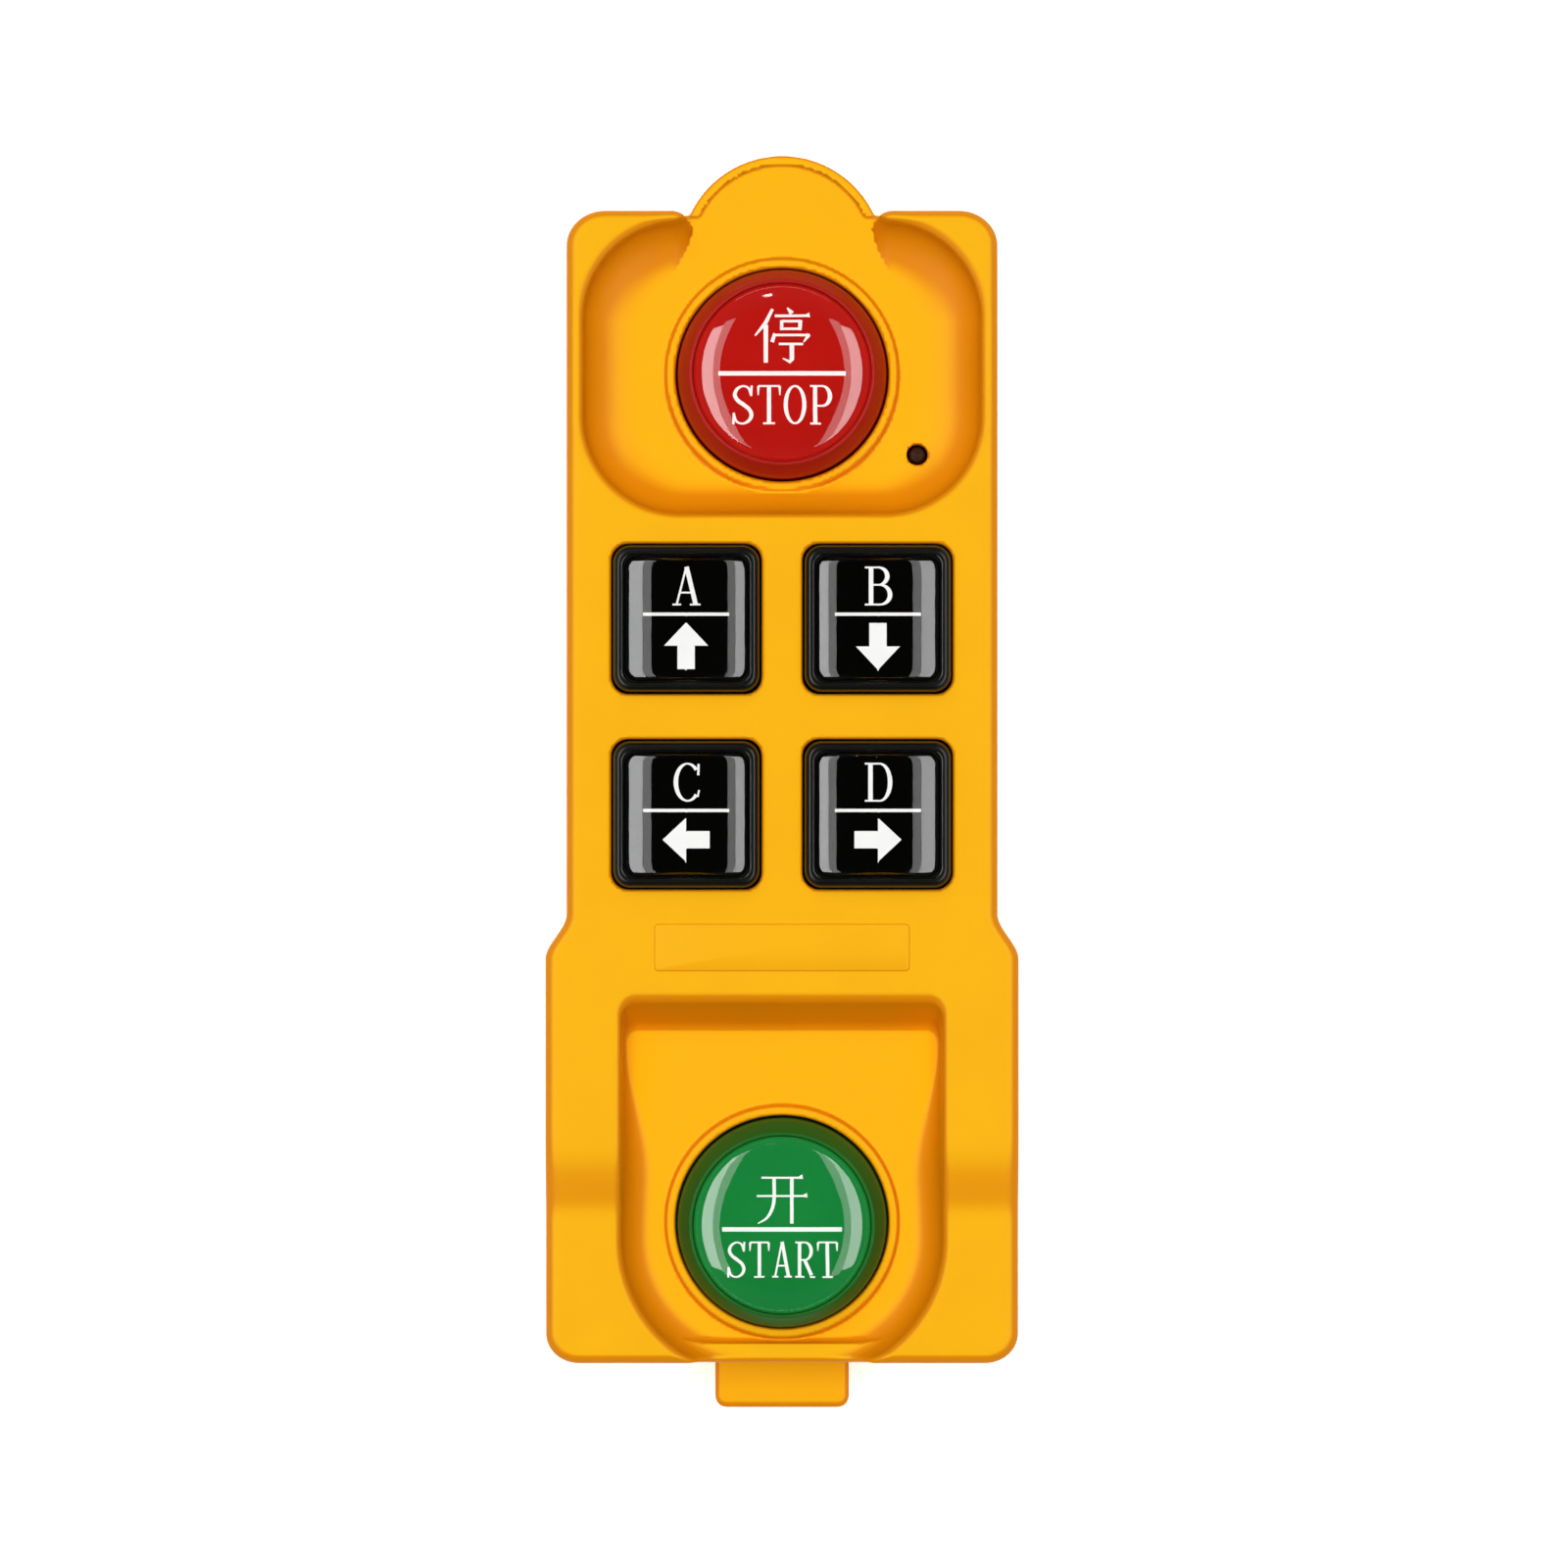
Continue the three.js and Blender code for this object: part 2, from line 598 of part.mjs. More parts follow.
addMesh("circuit_board", circuitBoard(), board);
addMesh("radio_shield", radioShield(), steel);
addMesh("antenna_coil", wire(new Coil(0, 74.8, 13, 24, 2.2, 2.2, 5), 0.4, 44, 2), copper);
const lampProfile = [
  [0, BOARD_TOP],
  [1.9, BOARD_TOP],
  [1.9, 23.6],
  [1.2, 23.6],
  [1.2, 28.9],
  [0.9, 29.6],
  [0, 29.9],
];
addMesh("status_light", turned(lampProfile, LED.x, LED.y, 16), dark);
BOARD_POSTS.forEach(([x, y], row) => {
  for (const side of [-1, 1]) {
    const name = `board_screw_${row ? "lower" : "upper"}_${side < 0 ? "left" : "right"}`;
    addMesh(name, screw(side * x, y, BOARD_LOW - 1.5, BOARD_LOW - 0.1, 26, 1.9, 0.85), steel);
  }
});

addMesh("battery_left", cell(-CELL_X, false), cellWrap);
addMesh("battery_right", cell(CELL_X, true), cellWrap);
addMesh("battery_spring_left", cellSpring(-CELL_X, false), steel);
addMesh("battery_spring_right", cellSpring(CELL_X, true), steel);
addMesh("battery_bridge_contact", contact(-14.6, 14.6, BAY.low + 0.25, CELL_X, 1), steel);
addMesh("battery_contact_left", contact(-14.6, -0.6, BAY.high - 0.25, -CELL_X, -1), steel);
addMesh("battery_contact_right", box(0.6, BAY.high - 0.45, 4.2, 14.6, BAY.high - 0.05, 15.6), steel);

export default part;
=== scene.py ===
import json
import math

import bmesh
import bpy
import numpy as np
from mathutils import Matrix, Vector


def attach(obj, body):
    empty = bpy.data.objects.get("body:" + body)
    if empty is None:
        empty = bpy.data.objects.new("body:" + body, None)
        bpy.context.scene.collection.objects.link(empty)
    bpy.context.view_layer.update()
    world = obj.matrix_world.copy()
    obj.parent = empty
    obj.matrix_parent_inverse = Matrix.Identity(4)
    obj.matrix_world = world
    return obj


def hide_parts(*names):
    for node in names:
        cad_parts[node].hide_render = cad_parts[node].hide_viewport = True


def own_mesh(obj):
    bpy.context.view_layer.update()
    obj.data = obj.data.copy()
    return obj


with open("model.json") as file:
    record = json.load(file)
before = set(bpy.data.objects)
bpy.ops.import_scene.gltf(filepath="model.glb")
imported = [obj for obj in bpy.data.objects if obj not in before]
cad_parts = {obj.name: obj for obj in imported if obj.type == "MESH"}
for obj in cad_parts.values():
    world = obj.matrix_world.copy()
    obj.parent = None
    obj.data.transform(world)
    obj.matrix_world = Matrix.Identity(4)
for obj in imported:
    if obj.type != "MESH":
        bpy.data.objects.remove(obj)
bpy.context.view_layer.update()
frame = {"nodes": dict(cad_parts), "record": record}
scene = bpy.context.scene
MM = 0.001
scene.view_settings.view_transform = "Standard"

# ---------- camera: straight above the keyed face, nose up ----------
cam_data = bpy.data.cameras.new("camera")
cam_data.lens = 108.9
cam_data.sensor_width = 36
cam_data.clip_start = 0.01
camera = bpy.data.objects.new("camera", cam_data)
camera.location = (0.27 * MM, -0.34 * MM, 0.686)
scene.collection.objects.link(camera)
scene.camera = camera

# ---------- sizes in millimetres, as in the CAD ----------
GRIP_HALF = 29.6
BASE_HALF = 32.5
TOP_Y = 78.4
BOTTOM_Y = -80.1
SHOULDER_TOP = -18.2
SHOULDER_LOW = -24.4
NOSE_Y = 72.6
NOSE_R = 14.05
REAR_TOP = 19.0
FRONT_LOW = 19.8
FACE = 36.0
LOW_FACE = 34.3
FLOOR = 30.0
LOW_FLOOR = 29.3
RAMP_TOP = -51.8
RAMP_LOW = -58.9
STOP_Y = 56.2
START_Y = -60.9
KEY_X = 13.1
KEY_ROWS = (22.3, -4.5)
WALL = 2.3
LED = (18.7, 45.2, 1.45)
BOSSES = ((24.6, 73.2), (26.4, -22.6), (27.4, -74.6))
POSTS = ((19.6, 63.5), (18.2, -21.6))
DOOR = dict(x=18.7, low=-75.6, high=-8.8)
DOOR_SCREW = (12.0, -12.4)
BAY = dict(x=15.7, low=-73.0, high=-17.5, top=17.2)
LUG = dict(half=9.45, end=-88.4, z0=7.5, z1=16.5)

# Rounded rectangles: low corner, high corner and corner radius. All lie across x and y but the
# strap eye, which lies across y and z.
STOP_BASIN = (-27.3, 36.75, 27.3, 76.8, 13.4)
DOOR_SEAT = (-20.7, -77.6, 20.7, -6.8, 4)
DOOR_HOLE = (-19.0, -75.9, 19.0, -8.5, 3.3)
LABEL_PANEL = (-17, 8, 17, 50, 2.0)
STRAP_EYE = (-86.35, 9.5, -81.35, 14.5, 1.2)

NOTCH_HALF = 12.4
START_HALF = 22.0
START_CORNER = 19.1
SILL_HALF = 13.2
COLLAR_R = 16.1
ROUND_HOLE_R = 14.75
SQUARE_HOLE_HALF = 10.3
FRONT_BOSS_R = 3.3
REAR_BOSS_R = 4.0
POST_R = 2.5
BOSS_PILOT_R = 1.3
POST_PILOT_R = 0.95
PILOT_TOP = 27
HEAD_BORE_R = 3.1
SHANK_BORE_R = 1.8
DOOR_HEAD_R = 3.0
DOOR_BOSS_R = 3.0
TUB_WALL = 1.6
GRIPS = dict(first=-63.7, pitch=3.6, last_row=6)
SPRING = dict(low=27.05, high=30.95, radius=2.7, wire=0.28, turns=4.5)
INK_STEP = 0.0015


# ---------- distance fields ----------
def rmax(a, b, r):
    """Where two solids meet, with the edge rounded by r."""
    return np.minimum(np.maximum(a, b), -r) + np.hypot(np.maximum(a + r, 0), np.maximum(b + r, 0))


def rmin(a, b, r):
    """Two solids joined, with a fillet r in the corner between them."""
    return -rmax(-a, -b, r)


def rect(x, y, x0, y0, x1, y1, r):
    """A rectangle between two corners, rounded by r."""
    qx = np.abs(x - (x0 + x1) / 2) - (x1 - x0) / 2
    qy = np.abs(y - (y0 + y1) / 2) - (y1 - y0) / 2
    return rmax(qx, qy, r)


def disc(x, y, cx, cy, r):
    return np.hypot(x - cx, y - cy) - r


def bowl(side, up, wide, tall):
    """A wall that curves into a floor over wide across and tall up; side and up are distances."""
    return rmax(side / wide, up / tall, 1.0) * np.minimum(wide, tall)


def smooth(u):
    u = np.clip(u, 0, 1)
    return u * u * (3 - 2 * u)


def plan(x, y):
    """The housing's outline without its nose."""
    t = (SHOULDER_TOP - y) / (SHOULDER_TOP - SHOULDER_LOW)
    half = GRIP_HALF + (BASE_HALF - GRIP_HALF) * smooth(t)
    side = (np.abs(x) - half) * 0.9
    end = np.maximum(y - TOP_Y, BOTTOM_Y - y)
    return rmax(side, end, np.where(y > 0, 4.8, 4.1))


def face_height(y):
    """The keyed face: level, then a short ramp down to the lower end, with both corners eased."""
    ramp = LOW_FACE + (FACE - LOW_FACE) * (y - RAMP_LOW) / (RAMP_TOP - RAMP_LOW)
    ramp = np.logaddexp(ramp * 7, LOW_FACE * 7) / 7
    return -np.logaddexp(-ramp * 3.5, -FACE * 3.5) / 3.5


def front_solid(x, y, z):
    """The front housing's outer form, endless below."""
    outline = plan(x, y)
    body = rmax(outline, z - face_height(y), 1.5)
    ring = disc(x, y, 0, NOSE_Y, NOSE_R)
    ledge = rmax(rmin(outline, ring, 0.35), z - (FLOOR - 0.55), 0.5)
    deck = rmax(rmin(outline + 0.3, ring + 1.35, 0.35), z - FLOOR, 0.45)
    nose = np.maximum(np.minimum(ledge, deck), 34 - y)
    spread = 6.6 + 2.6 * smooth((np.abs(x) - 12) / 10)
    basin = bowl(rect(x, y, *STOP_BASIN), FLOOR - z, spread, 5.4)
    body = rmax(body, -basin, 0.8)
    notch = np.maximum(np.abs(x) - NOTCH_HALF, np.maximum(62 - y, FLOOR - 3 - z))
    body = rmax(body, -notch, 2.8)
    body = np.minimum(body, nose)

    half = START_HALF + 0.35 * smooth((-50 - y) / 12)
    past_side = np.maximum(np.abs(x) - half + START_CORNER, 0)
    foot = np.hypot(past_side, np.maximum(-63 - y, 0)) - START_CORNER
    slope = (y + 33.85 - (z - LOW_FLOOR) * 0.582) * 0.864
    pocket = rmax(foot, slope, 1.9)
    near_top = smooth((y + 55) / 18)
    side = 4.8 - 4.1 * near_top
    lift = 6.2 - 5.2 * near_top
    pocket = rmax(pocket / side, (LOW_FLOOR - z) / lift, 1.0) * np.minimum(side, lift)
    body = rmax(body, -pocket, 0.9)
    sill = np.maximum(np.maximum(np.abs(x) - SILL_HALF, y + 77.6), z - (FLOOR + 0.3))
    sill = np.maximum(sill, rmax(outline, z - (FLOOR + 0.3), 0.8))
    body = rmin(body, sill, 0.9)

    for cy, floor in ((STOP_Y, FLOOR), (START_Y, LOW_FLOOR)):
        collar = np.maximum(rmax(disc(x, y, 0, cy, COLLAR_R), z - (floor + 1.0), 0.45), floor - 2 - z)
        body = rmin(body, collar, 0.4)
    return body


def front_housing(x, y, z):
    outer = front_solid(x, y, z)
    shell = np.maximum(outer, -(outer + WALL))
    for bx, by in BOSSES:
        stud = np.maximum(disc(np.abs(x), y, bx, by, FRONT_BOSS_R), np.maximum(z - 30, outer + 1))
        shell = rmin(shell, stud, 0.5)
    for bx, by in POSTS:
        stud = np.maximum(disc(np.abs(x), y, bx, by, POST_R), np.maximum(22.2 - z, outer + 1))
        shell = rmin(shell, stud, 0.5)
    shell = np.maximum(shell, FRONT_LOW - z)
    for cy in (STOP_Y, START_Y):
        shell = rmax(shell, -disc(x, y, 0, cy, ROUND_HOLE_R), 0.35)
    for ky in KEY_ROWS:
        k = SQUARE_HOLE_HALF
        shell = rmax(shell, -rect(np.abs(x), y, KEY_X - k, ky - k, KEY_X + k, ky + k, 2.3), 0.4)
    shell = rmax(shell, -disc(x, y, *LED), 0.15)
    for bx, by in BOSSES:
        shell = np.maximum(shell, -np.maximum(disc(np.abs(x), y, bx, by, BOSS_PILOT_R), z - PILOT_TOP))
    for bx, by in POSTS:
        shell = np.maximum(shell, -np.maximum(disc(np.abs(x), y, bx, by, POST_PILOT_R), z - PILOT_TOP))
    return shell


def rear_solid(x, y, z):
    body = rmax(plan(x, y), -z, 3.2)
    nose = rmax(disc(x, y, 0, NOSE_Y, NOSE_R), 5 - z, 2.0)
    body = rmin(body, nose, 0.8)
    across = rect(x, y, -LUG["half"], LUG["end"], LUG["half"], -76, 1.6)
    lug = rmax(across, np.maximum(LUG["z0"] - z, z - LUG["z1"]), 0.9)
    lug = rmax(lug, -rect(y, z, *STRAP_EYE), 0.5)
    return rmin(body, lug, 0.7)


def rear_housing(x, y, z):
    outer = rear_solid(x, y, z)
    inner = rmax(plan(x, y), -z, 3.2)
    nose = rmax(disc(x, y, 0, NOSE_Y, NOSE_R), 5 - z, 2.0)
    room = np.minimum(inner, nose) + WALL
    side = BAY["x"] + TUB_WALL
    tub = rect(x, y, -side, BAY["low"] - TUB_WALL, side, BAY["high"] + TUB_WALL, 1.0)
    tub = np.maximum(tub, z - BAY["top"] - TUB_WALL)
    seat = np.maximum(rect(x, y, *DOOR_SEAT), z - 5.2)
    kept = np.minimum(tub, seat)
    for bx, by in BOSSES:
        kept = np.minimum(kept, disc(np.abs(x), y, bx, by, REAR_BOSS_R))
    kept = np.minimum(kept, np.maximum(disc(np.abs(x), y, *DOOR_SCREW, DOOR_BOSS_R), z - 12))
    shell = np.maximum(np.maximum(outer, -np.maximum(room, -kept)), z - REAR_TOP)
    hole = np.maximum(rect(x, y, *DOOR_HOLE), z - 3.2)
    shell = rmax(shell, -hole, 0.45)
    bay = np.maximum(rect(x, y, -BAY["x"], BAY["low"], BAY["x"], BAY["high"], 0.3), z - BAY["top"])
    shell = np.maximum(shell, -bay)
    mouth = np.maximum(np.maximum(np.abs(x) - 6.3, np.abs(y + 77) - 1.2), np.abs(z - 1.75) - 0.85)
    shell = np.maximum(shell, -mouth)
    for bx, by in BOSSES:
        shell = rmax(shell, -np.maximum(disc(np.abs(x), y, bx, by, HEAD_BORE_R), z - 6), 0.4)
        shell = np.maximum(shell, -disc(np.abs(x), y, bx, by, SHANK_BORE_R))
    shell = np.maximum(shell, -np.maximum(disc(np.abs(x), y, *DOOR_SCREW, 1.15), z - 11))
    panel = np.maximum(rect(x, y, *LABEL_PANEL), z - 0.3)
    return rmax(shell, -panel, 0.2)


# ---------- a mesh from a distance field ----------
def slopes(field, p, step=0.03):
    """The field's gradient at each point."""
    g = np.empty_like(p)
    for k in range(3):
        a = p.copy()
        b = p.copy()
        a[:, k] += step
        b[:, k] -= step
        g[:, k] = field(*a.T) - field(*b.T)
    return g / (2 * step)


def settle(field, p, rounds=3, reach=0.25):
    """Moves points onto the surface along its slope."""
    for _ in range(rounds):
        g = slopes(field, p)
        push = field(*p.T) / np.maximum((g * g).sum(1), 0.05)
        p = p - np.clip(push, -reach, reach)[:, None] * g
    return p


def surface_net(field, low, high, step):
    """One vertex in each grid cell that the surface crosses, one quad on each grid edge that it crosses."""
    axes = [np.arange(a - step, b + 2 * step, step) for a, b in zip(low, high)]
    shape = [len(a) for a in axes]
    value = np.empty(shape, np.float32)
    yy, zz = np.meshgrid(axes[1], axes[2], indexing="ij")
    for start in range(0, shape[0], 24):
        xs = axes[0][start : start + 24][:, None, None]
        value[start : start + 24] = field(xs + 0 * yy[None], yy[None] + 0 * xs, zz[None] + 0 * xs)
    inside = value < 0
    cells = [n - 1 for n in shape]
    corner = [(i, j, k) for i in (0, 1) for j in (0, 1) for k in (0, 1)]
    part = lambda v, c: v[c[0] : c[0] + cells[0], c[1] : c[1] + cells[1], c[2] : c[2] + cells[2]]
    count = sum(part(inside, c).astype(np.int8) for c in corner)
    mixed = (count > 0) & (count < 8)
    number = -np.ones(cells, np.int64)
    number[mixed] = np.arange(mixed.sum())
    at = np.argwhere(mixed)
    total = np.zeros((len(at), 3))
    hits = np.zeros(len(at))
    for a in corner:
        for k in range(3):
            if a[k]:
                continue
            b = tuple(c + (m == k) for m, c in enumerate(a))
            va = value[tuple((at + a).T)]
            vb = value[tuple((at + b).T)]
            cross = (va < 0) != (vb < 0)
            t = np.where(cross, va / np.where(cross, va - vb, 1), 0)
            point = at + np.array(a, float)
            point[:, k] += t
            total += point * cross[:, None]
            hits += cross
    points = total / hits[:, None] * step + [a[0] for a in axes]
    faces = []
    for k in range(3):
        u, v = (k + 1) % 3, (k + 2) % 3
        lo = [slice(1, n - 1) for n in shape]
        hi = list(lo)
        lo[k], hi[k] = slice(0, shape[k] - 1), slice(1, shape[k])
        a, b = inside[tuple(lo)], inside[tuple(hi)]
        for flipped in (False, True):
            edge = np.argwhere((~a & b) if flipped else (a & ~b))
            edge[:, u] += 1
            edge[:, v] += 1
            loop = []
            for du, dv in ((-1, -1), (0, -1), (0, 0), (-1, 0)):
                c = edge.copy()
                c[:, u] += du
                c[:, v] += dv
                loop.append(number[tuple(c.T)])
            faces.append(np.stack(loop[::-1] if flipped else loop, 1))
    return points, np.concatenate(faces)


def mesh_from(name, points, faces):
    mesh = bpy.data.meshes.new(name)
    mesh.vertices.add(len(points))
    mesh.vertices.foreach_set("co", np.asarray(points, np.float32).ravel() * MM)
    size = faces.shape[1]
    mesh.loops.add(faces.size)
    mesh.loops.foreach_set("vertex_index", faces.ravel().astype(np.int32))
    mesh.polygons.add(len(faces))
    mesh.polygons.foreach_set("loop_start", np.arange(0, faces.size, size, dtype=np.int32))
    mesh.update(calc_edges=True)
    return mesh


def linked(name, mesh):
    """An object of the mesh, put into the scene."""
    obj = bpy.data.objects.new(name, mesh)
    scene.collection.objects.link(obj)
    return obj


def carve(name, field, low, high, step, keep):
    """A smooth-shaded object of a distance field, thinned out to a share of its faces."""
    points, faces = surface_net(field, low, high, step)
    dense = mesh_from(name, settle(field, points), faces)
    obj = linked(name, dense)
    obj.modifiers.new("fewer", "DECIMATE").ratio = keep
    graph = bpy.context.evaluated_depsgraph_get()
    mesh = bpy.data.meshes.new_from_object(obj.evaluated_get(graph))
    obj.modifiers.clear()
    obj.data = mesh
    bpy.data.meshes.remove(dense)
    mesh.name = name
    co = np.empty(len(mesh.vertices) * 3, np.float32)
    mesh.vertices.foreach_get("co", co)
    p = settle(field, co.reshape(-1, 3).astype(float) / MM, 2, 0.1)
    mesh.vertices.foreach_set("co", (p * MM).astype(np.float32).ravel())
    normal = slopes(field, p)
    normal /= np.maximum(np.linalg.norm(normal, axis=1), 1e-6)[:, None]
    mesh.update()
    mesh.shade_smooth()
    mesh.normals_split_custom_set_from_vertices(normal.tolist())
    return obj


# ---------- materials ----------
def material(
    name, colour, rough, vary=0.04, patch=90, grain=3500, bump=0.000004, spread=0.06, slope=None, **plain
):
    """A moulded or drawn surface: cloudy colour, and gloss and relief with a fine grain.

    The slope colour is painted shade: it darkens what doesn't lie level, most where it faces towards -y,
    and fades out again on upright sides.
    """
    mat = bpy.data.materials.new(name)
    mat.use_nodes = True
    nodes, links = mat.node_tree.nodes, mat.node_tree.links
    shader = nodes["Principled BSDF"]

    def chain(operation, *values):
        """A Math node fed by other nodes or by plain numbers."""
        node = nodes.new("ShaderNodeMath")
        node.operation = operation
        for socket, value in zip(node.inputs, values):
            if isinstance(value, bpy.types.NodeSocket):
                links.new(value, socket)
            else:
                socket.default_value = value
        return node.outputs["Value"]

    def ranged(value, start, end):
        """Rises smoothly from 0 to 1 while value goes from start to end."""
        node = nodes.new("ShaderNodeMapRange")
        node.interpolation_type = "SMOOTHSTEP"
        node.inputs["From Min"].default_value = start
        node.inputs["From Max"].default_value = end
        links.new(value, node.inputs["Value"])
        return node.outputs["Result"]

    for key, value in plain.items():
        shader.inputs[key.replace("_", " ")].default_value = value
    place = nodes.new("ShaderNodeTexCoord")
    cloud = nodes.new("ShaderNodeTexNoise")
    cloud.inputs["Scale"].default_value = patch
    cloud.inputs["Detail"].default_value = 3
    links.new(place.outputs["Object"], cloud.inputs["Vector"])
    tint = nodes.new("ShaderNodeValToRGB")
    tint.color_ramp.elements[0].position = 0.3
    tint.color_ramp.elements[1].position = 0.7
    tint.color_ramp.elements[0].color = [c * (1 - vary) for c in colour] + [1]
    tint.color_ramp.elements[1].color = [min(1, c * (1 + vary)) for c in colour] + [1]
    links.new(cloud.outputs["Fac"], tint.inputs["Fac"])
    links.new(tint.outputs["Color"], shader.inputs["Base Color"])
    # Painted shade: leaning faces, most of all those facing -y, are multiplied by the slope colour to stand
    # in for the shade on walls and the ramp.
    if slope:
        way = nodes.new("ShaderNodeSeparateXYZ")
        links.new(nodes.new("ShaderNodeNewGeometry").outputs["Normal"], way.inputs["Vector"])
        level = chain("ABSOLUTE", way.outputs["Z"])
        lean = chain("MINIMUM", chain("MULTIPLY_ADD", way.outputs["Y"], 0.3, level), level)
        share = chain("MULTIPLY", ranged(lean, 0.999, 0.85), ranged(level, 0.05, 0.35))
        deep = nodes.new("ShaderNodeMix")
        deep.data_type = "RGBA"
        deep.blend_type = "MULTIPLY"
        deep.inputs["B"].default_value = (*slope, 1)
        links.new(share, deep.inputs["Factor"])
        links.new(tint.outputs["Color"], deep.inputs["A"])
        links.new(deep.outputs["Result"], shader.inputs["Base Color"])
    fine = nodes.new("ShaderNodeTexNoise")
    fine.inputs["Scale"].default_value = grain
    fine.inputs["Detail"].default_value = 2
    links.new(place.outputs["Object"], fine.inputs["Vector"])
    gloss = nodes.new("ShaderNodeMapRange")
    gloss.inputs["To Min"].default_value = max(0.01, rough - spread)
    gloss.inputs["To Max"].default_value = rough + spread
    links.new(fine.outputs["Fac"], gloss.inputs["Value"])
    links.new(gloss.outputs["Result"], shader.inputs["Roughness"])
    relief = nodes.new("ShaderNodeBump")
    relief.inputs["Distance"].default_value = bump
    relief.inputs["Strength"].default_value = 0.6
    links.new(fine.outputs["Fac"], relief.inputs["Height"])
    links.new(relief.outputs["Normal"], shader.inputs["Normal"])
    return mat


def glowing(mat, strength):
    """Makes a material give off a little white light of its own."""
    shader = mat.node_tree.nodes["Principled BSDF"]
    shader.inputs["Emission Color"].default_value = (1, 1, 1, 1)
    shader.inputs["Emission Strength"].default_value = strength


SMOOTH = dict(bump=0.000001)
UNDER_LENS = dict(bump=0.000001, Specular_IOR_Level=0.0)
# Painted shade for walls and the ramp, multiplied into the housing's yellow.
WALL_SHADE_PAINT = (0.82, 0.56, 0.2)

yellow = material(
    "housing_yellow",
    (0.97, 0.468, 0.003),
    0.46,
    vary=0.012,
    bump=0.000005,
    slope=WALL_SHADE_PAINT,
    Specular_IOR_Level=0.08,
)
rubber = material("seal_rubber", (0.022, 0.022, 0.022), 0.75)
black = material("key_black", (0.0025, 0.0025, 0.002), 0.3, Specular_IOR_Level=0.25, **SMOOTH)
black_plate = material("key_black_plate", (0.001, 0.001, 0.0008), 0.6, **UNDER_LENS)
red = material("key_red", (0.4, 0.009, 0.005), 0.42, vary=0.03, Specular_IOR_Level=0.15, **SMOOTH)
red_disc = material("key_red_disc", (0.48, 0.009, 0.006), 0.6, vary=0.02, **UNDER_LENS)
green = material("key_green", (0.012, 0.12, 0.012), 0.42, vary=0.03, Specular_IOR_Level=0.12, **SMOOTH)
green_disc = material("key_green_disc", (0.010, 0.235, 0.045), 0.6, vary=0.02, **UNDER_LENS)
ink = material("legend_ink", (0.93, 0.93, 0.91), 0.6, vary=0.02, bump=0.0000005, Specular_IOR_Level=0.0)
steel = material("steel", (0.52, 0.53, 0.54), 0.3, Metallic=1.0)
laminate = material("board_green", (0.015, 0.12, 0.04), 0.4)
moulded = material("switch_dark", (0.02, 0.02, 0.022), 0.45)
sleeve = material("cell_wrap", (0.03, 0.11, 0.38), 0.35, Metallic=0.4)
copper = material("copper_wire", (0.6, 0.25, 0.09), 0.3, Metallic=1.0)
tinted = material("light_dark", (0.03, 0.008, 0.002), 0.5, Specular_IOR_Level=0.1)
clear = material(
    "lens_clear",
    (0.98, 0.98, 0.98),
    0.05,
    vary=0.01,
    bump=0.0,
    spread=0.01,
    Transmission_Weight=1.0,
    IOR=1.49,
)
floor_mat = material("floor_white", (0.93, 0.93, 0.93), 0.7, vary=0.01, patch=8, grain=400)

# Painted light: the print glows a little, so it stays white under its lens; the floor glows too, so it
# stays pale out to the picture's edge.
glowing(ink, 0.06)
glowing(floor_mat, 0.5)

slots = {
    "housing_yellow": yellow,
    "seal_rubber": rubber,
    "key_black": black,
    "key_red": red,
    "key_green": green,
    "lens_clear": clear,
    "steel": steel,
    "board_green": laminate,
    "switch_dark": moulded,
    "cell_wrap": sleeve,
    "copper_wire": copper,
    "light_dark": tinted,
}
slot_of = {s["node"]: s["material_slot"] for s in frame["record"]["subparts"]}
for node in frame["nodes"]:
    data = bpy.data.objects[node].data
    data.materials.clear()
    data.materials.append(slots[slot_of[node]])


def place(obj, body, node, mat, slot):
    """Hangs a piece on its body, and hides the CAD node it stands in for, if any."""
    obj.data.materials.clear()
    obj.data.materials.append(mat)
    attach(obj, body)
    if node:
        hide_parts(node)


# ---------- housing ----------
front = carve("front_housing_shell", front_housing, (-33, -81, 19.3), (33, 87.2, 36.5), 0.42, 0.5)
place(front, "housing", "front_housing", yellow, "housing_yellow")
rear = carve("rear_housing_shell", rear_housing, (-33, -89, -0.4), (33, 87.2, 19.3), 0.5, 0.4)
place(rear, "housing", "rear_housing", yellow, "housing_yellow")


def battery_door(x, y, z):
    outline = rect(x, y, -DOOR["x"], DOOR["low"], DOOR["x"], DOOR["high"], 3)
    plate = rmax(outline, np.maximum(0.3 - z, z - 2.4), 0.45)
    tongue = np.maximum(np.maximum(np.abs(x) - 6, np.abs(y - DOOR["low"]) - 2), np.abs(z - 1.7) - 0.6)
    body = np.minimum(plate, tongue)
    row = np.clip(np.round((y - GRIPS["first"]) / GRIPS["pitch"]), 0, GRIPS["last_row"])
    groove = np.hypot(np.maximum(np.abs(x) - 12.3, 0), y - GRIPS["first"] - GRIPS["pitch"] * row) - 0.75
    body = rmax(body, -np.maximum(groove, z - 1.0), 0.3)
    body = rmax(body, -np.maximum(disc(np.abs(x), y, *DOOR_SCREW, DOOR_HEAD_R), z - 1.7), 0.25)
    return np.maximum(body, -disc(np.abs(x), y, *DOOR_SCREW, 1.7))


door = carve("battery_door_panel", battery_door, (-19.4, -78.4, -0.1), (19.4, -8.2, 2.9), 0.36, 0.45)
place(door, "housing", "battery_door", yellow, "housing_yellow")


